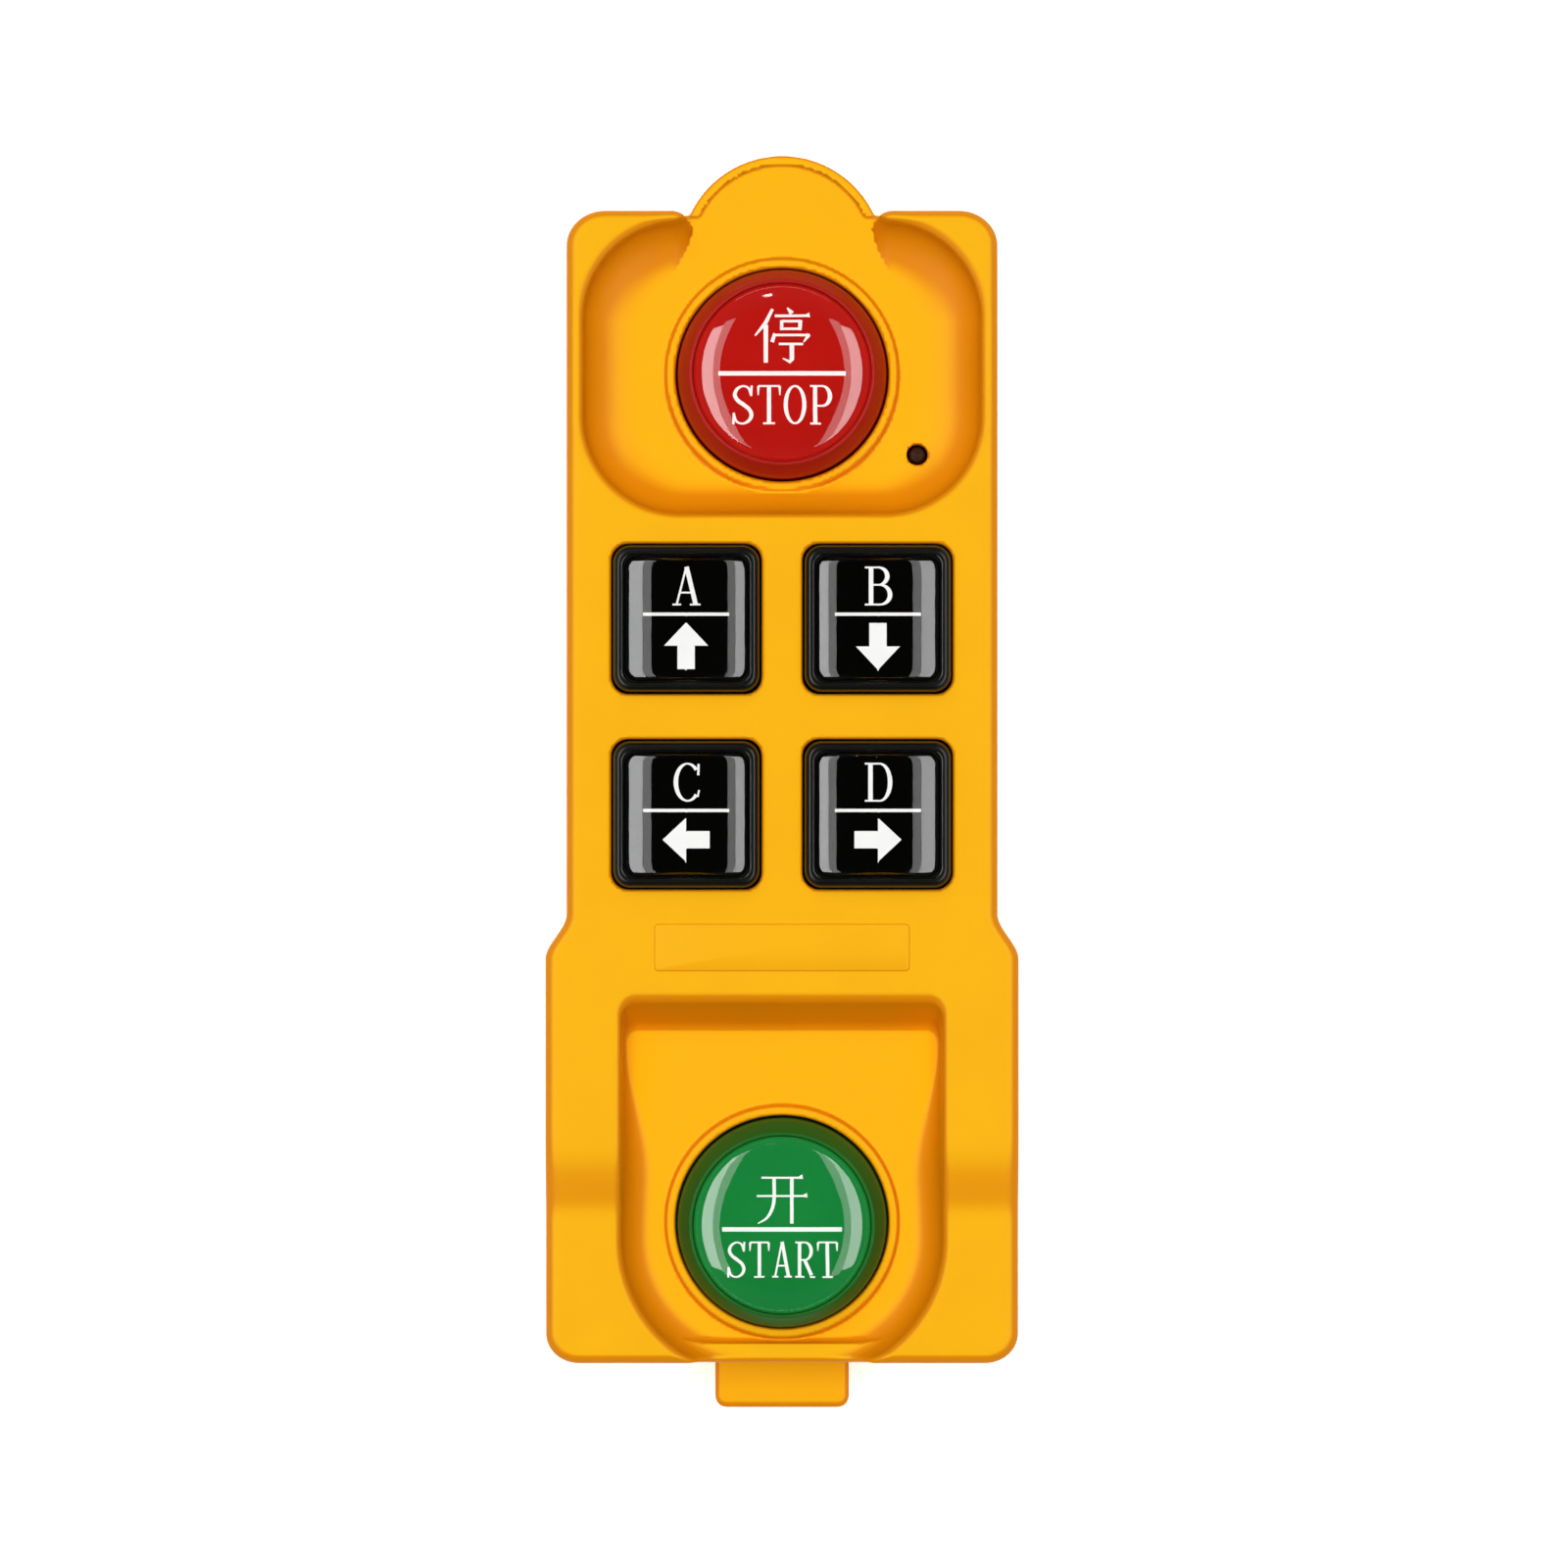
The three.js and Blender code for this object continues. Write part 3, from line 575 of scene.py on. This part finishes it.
def gasket(name, insets, low, high, count=720):
    """A band that follows the housing's outline between two insets."""
    turn = np.linspace(0, 2 * math.pi, count, endpoint=False)
    c, s = np.cos(turn), np.sin(turn)
    eased = 0.15
    outer, inner = insets
    around = [(outer + eased, low), (outer, low + eased), (outer, high - eased), (outer + eased, high)]
    around += [(inner - eased, high), (inner, high - eased), (inner, low + eased), (inner - eased, low)]
    rings = []
    for inset, z in around:
        near, far = np.zeros(count), np.full(count, 110.0)
        for _ in range(36):
            r = (near + far) / 2
            inside = np.minimum(plan(r * c, r * s), disc(r * c, r * s, 0, NOSE_Y, NOSE_R)) < -inset
            near, far = np.where(inside, r, near), np.where(inside, far, r)
        rings.append(np.stack([near * c, near * s, np.full(count, z)], 1))
    faces = []
    for k in range(len(rings)):
        a, b = k * count, (k + 1) % len(rings) * count
        faces += [(a + i, a + (i + 1) % count, b + (i + 1) % count, b + i) for i in range(count)]
    mesh = mesh_from(name, np.concatenate(rings), np.array(faces))
    mesh.shade_smooth()
    return linked(name, mesh)


seal = gasket("housing_gasket", (0.7, 2.0), REAR_TOP, FRONT_LOW)
place(seal, "housing", "housing_seal", rubber, "seal_rubber")


# ---------- fasteners and springs ----------
def screw_field(low, high, tip, head, shank):
    """A pan head that faces down with a cross recess, and a threaded shank up to its tip."""

    def field(x, y, z):
        r = np.hypot(x, y)
        pan = np.maximum(rmax(r - head, low - z, (high - low) * 0.6), z - high)
        deep = np.clip((z - low) / (high - low), 0, 1)
        ax, ay = np.abs(x), np.abs(y)
        arm = np.minimum(np.maximum(ax - head * 0.55, ay), np.maximum(ay - head * 0.55, ax))
        cross = np.maximum(arm - head * (0.17 - 0.09 * deep), z - low - (high - low) * 0.6)
        ridge = 0.1 * np.cos(2 * math.pi * z / 0.9 - np.arctan2(y, x)) * (z > high + 0.6)
        rod = np.maximum(np.maximum(r - shank - ridge, (r + z - tip - shank * 0.4) * 0.7), high - 0.2 - z)
        return np.minimum(rmax(pan, -cross, 0.08), rod)

    return field


def screws(names, spots, low, high, tip, head, shank, step):
    """The same screw at each spot; a piece's name is its CAD node's with _detail after it."""
    edge = head + 0.3
    field = screw_field(low, high, tip, head, shank)
    first = carve(names[0], field, (-edge, -edge, low - 0.3), (edge, edge, tip + 0.3), step, 0.6)
    rest = [linked(name, first.data.copy()) for name in names[1:]]
    for obj, name, (x, y) in zip([first] + rest, names, spots):
        obj.data.transform(Matrix.Translation((x * MM, y * MM, 0)))
        place(obj, "housing", name.removesuffix("_detail"), steel, "steel")


sides = (("left", -1), ("right", 1))
rows = list(zip(("top", "middle", "bottom"), BOSSES))
names = [f"housing_screw_{row}_{side}_detail" for row, _ in rows for side, _ in sides]
spots = [(sign * x, y) for _, (x, y) in rows for _, sign in sides]
screws(names, spots, low=3.6, high=5.9, tip=26.4, head=2.8, shank=1.2, step=0.17)
names = [f"door_screw_{side}_detail" for side, _ in sides]
spots = [(sign * DOOR_SCREW[0], DOOR_SCREW[1]) for _, sign in sides]
screws(names, spots, low=0.4, high=1.6, tip=9.5, head=2.7, shank=1.05, step=0.13)


def coil(name, cx, cy, low, high, radius, wire, turns, count=160, sides=10):
    """A wire coil with closed end turns."""
    points, faces = [], []
    for i in range(count + 1):
        a = 2 * math.pi * turns * i / count
        u = min(1, max(0, (i / count - 0.16) / 0.68))
        z = low + (high - low) * u
        for k in range(sides):
            b = 2 * math.pi * k / sides
            r = radius + wire * math.cos(b)
            points.append((cx + r * math.cos(a), cy + r * math.sin(a), z + wire * math.sin(b)))
    for i in range(count):
        for k in range(sides):
            m = (k + 1) % sides
            faces.append((i * sides + k, (i + 1) * sides + k, (i + 1) * sides + m, i * sides + m))
    mesh = bpy.data.meshes.new(name)
    ends = [tuple(range(sides)), tuple(range((count + 1) * sides - 1, count * sides - 1, -1))]
    mesh.from_pydata([tuple(c * MM for c in p) for p in points], [], faces + ends)
    mesh.shade_smooth()
    return linked(name, mesh)


# ---------- turned and lofted pieces ----------
def rounded(points, r, steps=5):
    """A profile with each corner between its ends rounded by up to r."""
    out = [points[0]]
    for a, b, c in zip(points, points[1:], points[2:]):
        a, b, c = (np.array(p, float) for p in (a, b, c))
        la, lc = np.linalg.norm(a - b), np.linalg.norm(c - b)
        k = min(r, la * 0.45, lc * 0.45)
        p, q = b + (a - b) / la * k, b + (c - b) / lc * k
        for i in range(steps + 1):
            t = i / steps
            out.append(tuple((1 - t) ** 2 * p + 2 * t * (1 - t) * b + t * t * q))
    out.append(points[-1])
    return out


def finished(name, bm):
    """An object of the closed mesh, facing outwards, smooth but for its sharp edges."""
    bmesh.ops.recalc_face_normals(bm, faces=bm.faces)
    if bm.calc_volume(signed=True) < 0:
        bmesh.ops.reverse_faces(bm, faces=bm.faces)
    mesh = bpy.data.meshes.new(name)
    bm.to_mesh(mesh)
    bm.free()
    mesh.shade_smooth()
    mesh.set_sharp_from_angle(angle=math.radians(50))
    return linked(name, mesh)


def turned(name, profile, cx, cy, sides=128):
    """A solid of revolution; the profile starts and ends on the axis."""
    bm = bmesh.new()
    rings = []
    for r, z in profile:
        if r < 1e-6:
            rings.append([bm.verts.new((cx * MM, cy * MM, z * MM))])
            continue
        turn = [2 * math.pi * i / sides for i in range(sides)]
        circle = [(cx + r * math.cos(a), cy + r * math.sin(a)) for a in turn]
        rings.append([bm.verts.new((x * MM, y * MM, z * MM)) for x, y in circle])
    for a, b in zip(rings, rings[1:]):
        for i in range(sides):
            j = (i + 1) % sides
            if len(a) == 1:
                bm.faces.new((a[0], b[j], b[i]))
            elif len(b) == 1:
                bm.faces.new((a[i], a[j], b[0]))
            else:
                bm.faces.new((a[i], a[j], b[j], b[i]))
    return finished(name, bm)


def pillow(name, cx, cy, half, corner, profile, sides=16, straight=14):
    """A rounded rectangle built up in rings: each has an inset along x, one along y and a height."""
    bm = bmesh.new()
    rings = []
    for inset_x, inset_y, z in profile:
        hx, hy = half[0] - inset_x, half[1] - inset_y
        r = max(corner - min(inset_x, inset_y) * 0.55, 0.1)
        r = min(r, hx * 0.98, hy * 0.98)
        outline = []
        for q in range(4):
            sx = 1 if q in (0, 3) else -1
            sy = 1 if q in (0, 1) else -1
            for i in range(sides + 1):
                a = math.pi / 2 * (q + i / sides)
                outline.append((sx * (hx - r) + r * math.cos(a), sy * (hy - r) + r * math.sin(a)))
            x, y = outline[-1]
            dx, dy = ((-1, 0), (0, -1), (1, 0), (0, 1))[q]
            dx *= 2 * (hx - r)
            dy *= 2 * (hy - r)
            outline += [(x + dx * i / straight, y + dy * i / straight) for i in range(1, straight)]
        rings.append([bm.verts.new(((cx + x) * MM, (cy + y) * MM, z * MM)) for x, y in outline])
    n = len(rings[0])
    for a, b in zip(rings, rings[1:]):
        for i in range(n):
            j = (i + 1) % n
            bm.faces.new((a[i], a[j], b[j], b[i]))
    bm.faces.new(rings[0][::-1])
    bm.faces.new(rings[-1])
    bmesh.ops.remove_doubles(bm, verts=bm.verts, dist=1e-7)
    return finished(name, bm)


def crown(reach, stations, tilts, count):
    """Radii out to reach, and how far a surface has dropped there that tilts by these degrees."""
    out = np.linspace(0, reach, count)
    tilt = np.interp(out, stations, np.radians(tilts))
    drop = np.concatenate([[0], np.cumsum(np.diff(out) * np.tan((tilt[1:] + tilt[:-1]) / 2))])
    return out, drop


# ---------- keys; the lenses cast no shadow, so that the lights reach the print under them ----------
for key, cy, mat, slot in (("stop", STOP_Y, red, "key_red"), ("start", START_Y, green, "key_green")):
    outline = [(0, 31.5), (11.5, 31.5), (11.5, 25.4), (15.6, 25.4), (15.6, 26.5), (14.4, 26.7)]
    outline += [(14.4, 31.6), (14.1, 32.6), (12.75, 35.05), (12.3, 35.05), (12.3, 34.0), (0, 34.0)]
    cap = turned(f"{key}_cap", rounded(outline, 0.5), 0, cy)
    place(cap, f"{key}_key", f"{key}_key_cap", mat, slot)
    # Nearly level on top, then a shoulder that steepens towards a tight rim; its foot takes in the print.
    reach, drop = crown(11.75, (0, 7.0, 8.6, 11.2, 11.6, 11.75), (0, 4, 12, 23, 35, 55), 48)
    dome = [(0, 34.43), (12.1, 34.43), (12.1, 34.75)]
    dome += [(r, 36.9 - d) for r, d in zip(reach[::-1], drop[::-1])]
    lens = turned(f"{key}_dome", dome, 0, cy)
    place(lens, f"{key}_key", f"{key}_key_lens", clear, "lens_clear")
    lens.visible_shadow = False

squares = {
    "up": (-KEY_X, KEY_ROWS[0]),
    "down": (KEY_X, KEY_ROWS[0]),
    "left": (-KEY_X, KEY_ROWS[1]),
    "right": (KEY_X, KEY_ROWS[1]),
}
for key, (cx, cy) in squares.items():
    rim = [(0.35, 32.3), (0.0, 32.6), (0.0, 36.8), (0.05, 37.3), (0.2, 37.8), (0.5, 38.15)]
    rim += [(0.85, 38.3), (1.15, 38.25), (1.25, 38.0), (1.25, 37.45)]
    cap = pillow(f"{key}_cap", cx, cy, (10.0, 10.0), 2.3, [(k, k, z) for k, z in rim])
    place(cap, f"{key}_key", f"{key}_key_cap", black, "key_black")
    # Crowned across, with wide shoulders left and right and tight ones above and below.
    reach, drop = crown(8.5, (0, 3.4, 4.6, 8.0, 8.3, 8.5), (0.3, 2.5, 10, 22, 35, 65), 44)
    top = [(0.0, 0.0, 37.78)]
    for r, d in zip(reach[:0:-1], drop[:0:-1]):
        top.append((8.6 - r, 0.7 * (d / drop[-1] - 1) ** 2 + 0.05, 39.2 - d))
    lens = pillow(f"{key}_window", cx, cy, (8.6, 8.6), 1.9, top)
    place(lens, f"{key}_key", f"{key}_key_lens", clear, "lens_clear")
    lens.visible_shadow = False

for key, (cx, cy) in {"stop": (0, STOP_Y), "start": (0, START_Y), **squares}.items():
    spring = coil(f"{key}_return_spring", cx, cy, **SPRING)
    place(spring, "housing", f"{key}_key_spring", steel, "steel")
    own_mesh(spring)


# ---------- blank nameplate between the keys and the START recess ----------
edge = [(0.0, 0.0, 35.9), (0.0, 0.0, 36.02), (0.06, 0.06, 36.09), (0.16, 0.16, 36.12)]
nameplate = pillow("nameplate", 0, -22.75, (17.5, 3.25), 0.6, edge)
place(nameplate, "housing", None, yellow, "housing_yellow")


# ---------- legends ----------
def curve_through(points, count=10):
    """A smooth line through the points, with each point's own width carried along."""
    p = np.array(points, float)
    ends = np.vstack([2 * p[0] - p[1], p, 2 * p[-1] - p[-2]])
    out = []
    for a, b, c, d in zip(ends, ends[1:], ends[2:], ends[3:]):
        for i in range(count):
            t = i / count
            square = (2 * a - 5 * b + 4 * c - d) * t**2
            cube = (3 * b - a - 3 * c + d) * t**3
            out.append(0.5 * (2 * b + (c - a) * t + square + cube))
    out.append(p[-1])
    return np.array(out)


def loop_points(cx, cy, rx, ry, start, end, thin, thick, count=40):
    """Part of an oval whose line is thick at its sides and thin at its top and foot."""
    out = []
    for i in range(count + 1):
        a = math.radians(start + (end - start) * i / count)
        width = thin + (thick - thin) * abs(math.cos(a)) ** 1.4
        out.append((cx + rx * math.cos(a), cy + ry * math.sin(a), width))
    return out


def letter(char, w, h, thick, thin):
    """A letter's strokes in millimetres from its lower left corner, as points of x, y and line width."""
    bar = lambda x0, y0, x1, y1, a, b=None: [(x0 * w, y0 * h, a), (x1 * w, y1 * h, a if b is None else b)]
    edge = thin / 2 / h
    top, foot, half = 1 - edge, edge, thick / 2
    stem = lambda x: [bar(x, top, x, foot, thick)]
    feet = lambda x0, x1: [bar(x0, foot, x1, foot, thin)]
    caps = lambda x0, x1: [bar(x0, top, x1, top, thin)]
    if char == "S":
        way = [(0.84, 0.76, 0.5), (0.74, 0.92, 0.55), (0.5, 0.975, 0.4), (0.24, 0.9, 0.8)]
        way += [(0.14, 0.75, 1), (0.27, 0.61, 1), (0.52, 0.5, 1.05), (0.77, 0.38, 1)]
        way += [(0.87, 0.23, 1), (0.75, 0.09, 0.8), (0.48, 0.025, 0.4)]
        way += [(0.22, 0.09, 0.55), (0.11, 0.27, 0.5)]
        line = [(x * w, y * h, thin + (k - 0.4) / 0.6 * (thick * 0.9 - thin)) for x, y, k in way]
        ends = [bar(0.88, 0.99, 0.85, 0.72, thin * 1.2), bar(0.09, 0.01, 0.11, 0.3, thin * 1.2)]
        return [curve_through(line)] + ends
    if char == "T":
        wide, narrow = thin * 1.5, thin * 0.6
        arms = [bar(0.03, 0.97, 0.02, 0.74, wide, narrow), bar(0.97, 0.97, 0.98, 0.74, wide, narrow)]
        return stem(0.5) + caps(0.02, 0.98) + feet(0.24, 0.76) + arms
    if char == "O":
        return [loop_points(w / 2, h / 2, w / 2 - half, h / 2 - thin / 2, 0, 360, thin, thick)]
    if char == "C":
        arc = loop_points(w * 0.54, h / 2, w * 0.5 - half, h / 2 - thin / 2, 42, 318, thin, thick)
        return [arc, bar(0.93, 0.97, 0.92, 0.68, thin * 1.3), bar(0.95, 0.3, 0.9, 0.12, thin, thin)]
    if char == "A":
        rise = [bar(0.49, 0.98, 0.15, foot, thin * 1.15), bar(0.5, 0.995, 0.83, foot, thick)]
        return rise + [bar(0.25, 0.33, 0.72, 0.33, thin)] + feet(0.0, 0.31) + feet(0.62, 1.0)

    def bowl_of(low, high, x0, reach):
        """A round side between two heights, out to reach."""
        turn_x = reach * 0.55
        middle, tall = (low + high) / 2 * h, (high - low) / 2 * h
        arc = loop_points(turn_x * w, middle, reach * 0.45 * w - half, tall, 90, -90, thin, thick)
        return [bar(x0, high, turn_x, high, thin), arc, bar(x0, low, turn_x, low, thin)]

    strokes = stem(0.24) + caps(0.02, 0.5) + feet(0.02, 0.48)
    if char == "P":
        return strokes + bowl_of(0.47, top, 0.24, 0.98)
    if char == "D":
        return stem(0.22) + caps(0.02, 0.5) + feet(0.02, 0.5) + bowl_of(foot, top, 0.22, 1.0)
    if char == "B":
        return strokes + bowl_of(0.53, top, 0.24, 0.9) + bowl_of(foot, 0.53, 0.24, 1.0)
    leg = [bar(0.5, 0.49, 0.84, 0.07, thick), bar(0.76, foot, 1.02, foot, thin)]
    return strokes + bowl_of(0.49, top, 0.24, 0.92) + leg


STOP_SIGN = [
    [(0.34, 0.98, 0.05), (0.22, 0.74, 0.07), (0.03, 0.5, 0.03)],
    [(0.22, 0.7, 0.085), (0.22, 0.0, 0.075)],
    [(0.6, 1.0, 0.03), (0.68, 0.9, 0.09)],
    [(0.38, 0.86, 0.045), (0.93, 0.86, 0.045), (0.99, 0.875, 0.09)],
    [(0.5, 0.78, 0.06), (0.5, 0.6, 0.06)],
    [(0.5, 0.765, 0.045), (0.84, 0.765, 0.045)],
    [(0.83, 0.78, 0.075), (0.82, 0.6, 0.065)],
    [(0.5, 0.625, 0.045), (0.83, 0.625, 0.045)],
    [(0.38, 0.54, 0.06), (0.33, 0.38, 0.07)],
    [(0.37, 0.51, 0.045), (0.95, 0.51, 0.045), (0.99, 0.5, 0.07)],
    [(0.98, 0.52, 0.08), (0.89, 0.38, 0.02)],
    [(0.45, 0.345, 0.045), (0.88, 0.345, 0.045)],
    [(0.68, 0.35, 0.085), (0.68, 0.06, 0.08), (0.63, 0.0, 0.05)],
    [(0.66, 0.01, 0.06), (0.52, 0.08, 0.02)],
]
START_SIGN = [
    [(0.1, 0.93, 0.04), (0.82, 0.93, 0.04), (0.9, 0.95, 0.09)],
    [(0.01, 0.56, 0.04), (0.9, 0.56, 0.04), (0.99, 0.575, 0.09)],
    [(0.345, 0.93, 0.07), (0.345, 0.5, 0.07), (0.3, 0.28, 0.065), (0.2, 0.11, 0.05), (0.03, 0.0, 0.02)],
    [(0.69, 0.93, 0.075), (0.69, 0.0, 0.07)],
]


def arrow(cx, cy, turn, length=6.4, head=3.2, width=6.0, shaft=2.35):
    """An arrow's outline; turn is the angle from pointing right."""
    k = length / 2
    line = [(-k, -shaft / 2), (k - head, -shaft / 2), (k - head, -width / 2), (k, 0)]
    line += [(k - head, width / 2), (k - head, shaft / 2), (-k, shaft / 2)]
    c, s = math.cos(math.radians(turn)), math.sin(math.radians(turn))
    return [(cx + x * c - y * s, cy + x * s + y * c) for x, y in line]


def printed(name, cx, cy, z, strokes, outlines=()):
    """Flat ink laid stroke by stroke, each a hair above the one before."""
    points, faces = [], []
    for line in strokes:
        p = np.array(line, float)
        step = np.gradient(p[:, :2], axis=0)
        step /= np.maximum(np.linalg.norm(step, axis=1), 1e-9)[:, None]
        side = np.stack([-step[:, 1], step[:, 0]], 1) * p[:, 2:3] / 2
        base = len(points)
        for a, b in zip(p[:, :2] - side, p[:, :2] + side):
            points += [(cx + a[0], cy + a[1], z), (cx + b[0], cy + b[1], z)]
        starts = range(base, base + 2 * len(p) - 2, 2)
        faces += [(k, k + 2, k + 3, k + 1) for k in starts]
        z += INK_STEP
    for line in outlines:
        base = len(points)
        points += [(cx + x, cy + y, z) for x, y in line]
        faces.append(tuple(range(base, base + len(line))))
        z += INK_STEP
    mesh = bpy.data.meshes.new(name)
    mesh.from_pydata([(x * MM, y * MM, h * MM) for x, y, h in points], [], faces)
    return linked(name, mesh)


def word(text, cx, y0, width, h, thick, thin, gap):
    """Letters side by side, centred on cx and standing on y0."""
    w = (width - gap * (len(text) - 1)) / len(text)
    out = []
    for i, char in enumerate(text):
        x0 = cx - width / 2 + i * (w + gap)
        out += [[(x0 + x, y0 + y, k) for x, y, k in line] for line in letter(char, w, h, thick, thin)]
    return out


def sign(strokes, x0, y0, w, h):
    """Strokes drawn on a unit square, laid out w wide and h tall."""
    out = []
    for stroke in strokes:
        line = curve_through(stroke, 6) if len(stroke) > 3 else stroke
        out.append([(x0 + x * w, y0 + y * h, k * h) for x, y, k in line])
    return out


def rule(x0, x1, y, width):
    return [(x0, y, width), (x1, y, width)]


stop_ink = sign(STOP_SIGN, -3.9, 1.25, 7.7, 7.4) + [rule(-8.6, 8.6, -0.2, 0.6)]
stop_ink += word("STOP", 0.0, -7.1, 13.7, 5.3, 0.56, 0.25, 0.45)
start_ink = sign(START_SIGN, -3.5, 0.25, 7.0, 6.7) + [rule(-8.1, 8.1, -0.55, 0.6)]
start_ink += word("START", 0.0, -7.1, 15.0, 4.9, 0.47, 0.23, 0.4)
for key, cy, strokes, mat, slot in (
    ("stop", STOP_Y, stop_ink, red_disc, "key_red"),
    ("start", START_Y, start_ink, green_disc, "key_green"),
):
    plate = [(0, 34.05), (11.95, 34.05), (12.0, 34.1), (12.0, 34.4), (11.95, 34.45), (0, 34.45)]
    plate = turned(f"{key}_legend_disc", plate, 0, cy)
    place(plate, f"{key}_key", f"{key}_key_legend", mat, slot)
    place(printed(f"{key}_legend_print", 0, cy, 34.456, strokes), f"{key}_key", None, ink, slot)

# Each square key's letter, its arrow's turn and how far below the middle the arrow sits.
marks = {
    "up": ("A", 90, -3.75),
    "down": ("B", -90, -3.85),
    "left": ("C", 180, -3.45),
    "right": ("D", 0, -3.45),
}
for key, (char, turn, low) in marks.items():
    cx, cy = squares[key]
    edge = [(0.1, 0.1, 37.45), (0, 0, 37.5), (0, 0, 37.75), (0.1, 0.1, 37.8)]
    plate = pillow(f"{key}_legend_plate", cx, cy, (8.5, 8.5), 1.8, edge)
    place(plate, f"{key}_key", f"{key}_key_legend", black_plate, "key_black")
    letters = [[(x - 1.85, y + 1.75, k) for x, y, k in line] for line in letter(char, 3.8, 5.3, 0.62, 0.24)]
    letters.append(rule(-5.8, 5.8, 0.55, 0.45))
    image = printed(f"{key}_legend_print", cx, cy, 37.806, letters, [arrow(0, low, turn)])
    place(image, f"{key}_key", None, ink, "key_black")

# ---------- stage and light ----------
FLOOR_REACH = 3
FLOOR_DROP = -0.0006
floor_mesh = bpy.data.meshes.new("floor")
corners = [(FLOOR_REACH * x, FLOOR_REACH * y, FLOOR_DROP) for x, y in ((-1, -1), (1, -1), (1, 1), (-1, 1))]
floor_mesh.from_pydata(corners, [], [(0, 1, 2, 3)])
floor = linked("floor", floor_mesh)
floor.data.materials.append(floor_mat)

# Even light from all round, and a darker patch overhead so that level gloss stays deep.
SKY = 0.1
OVERHEAD = 0.015

world = bpy.data.worlds.new("world")
world.use_nodes = True
sky, sky_links = world.node_tree.nodes, world.node_tree.links
way = sky.new("ShaderNodeTexCoord")
split = sky.new("ShaderNodeSeparateXYZ")
sky_links.new(way.outputs["Generated"], split.inputs["Vector"])
shade = sky.new("ShaderNodeMapRange")
shade.inputs["From Min"].default_value = 0.70
shade.inputs["From Max"].default_value = 0.86
shade.inputs["To Min"].default_value = SKY
shade.inputs["To Max"].default_value = OVERHEAD
sky_links.new(split.outputs["Z"], shade.inputs["Value"])
sky_links.new(shade.outputs["Result"], sky["Background"].inputs["Strength"])
sky["Background"].inputs["Color"].default_value = (1, 1, 1, 1)
scene.world = world


def softbox(name, where, size, power, shade=True, gloss=True):
    """A rectangular light aimed at the object; shade and gloss say what it acts on."""
    data = bpy.data.lights.new(name, "AREA")
    data.shape = "RECTANGLE"
    data.size, data.size_y = size
    data.energy = power
    obj = bpy.data.objects.new(name, data)
    obj.location = where
    aim = Vector((0, 0, 0.03)) - Vector(where)
    obj.rotation_euler = aim.to_track_quat("-Z", "Y").to_euler()
    obj.visible_diffuse = shade
    obj.visible_glossy = gloss
    obj.visible_transmission = False
    obj.visible_camera = False
    scene.collection.objects.link(obj)


# Two wide lights shade the piece, and the rest only draw highlights.
softbox("key_light", (-0.5, 1.6, 2.2), (1.6, 1.2), 15, gloss=False)
softbox("top_light", (0, 0, 2.2), (1.6, 1.6), 42.5, gloss=False)
softbox("left_strip", (-0.212, 0, 0.283), (0.46, 0.08), 1.05, shade=False)
softbox("left_glow", (-0.145, 0, 0.292), (0.46, 0.042), 0.2, shade=False)
softbox("right_strip", (0.212, 0, 0.283), (0.46, 0.08), 0.9, shade=False)
softbox("right_glow", (0.145, 0, 0.292), (0.46, 0.042), 0.18, shade=False)
softbox("spark", (-0.2, 1.25, 1.15), (0.12, 0.08), 0.9, shade=False)
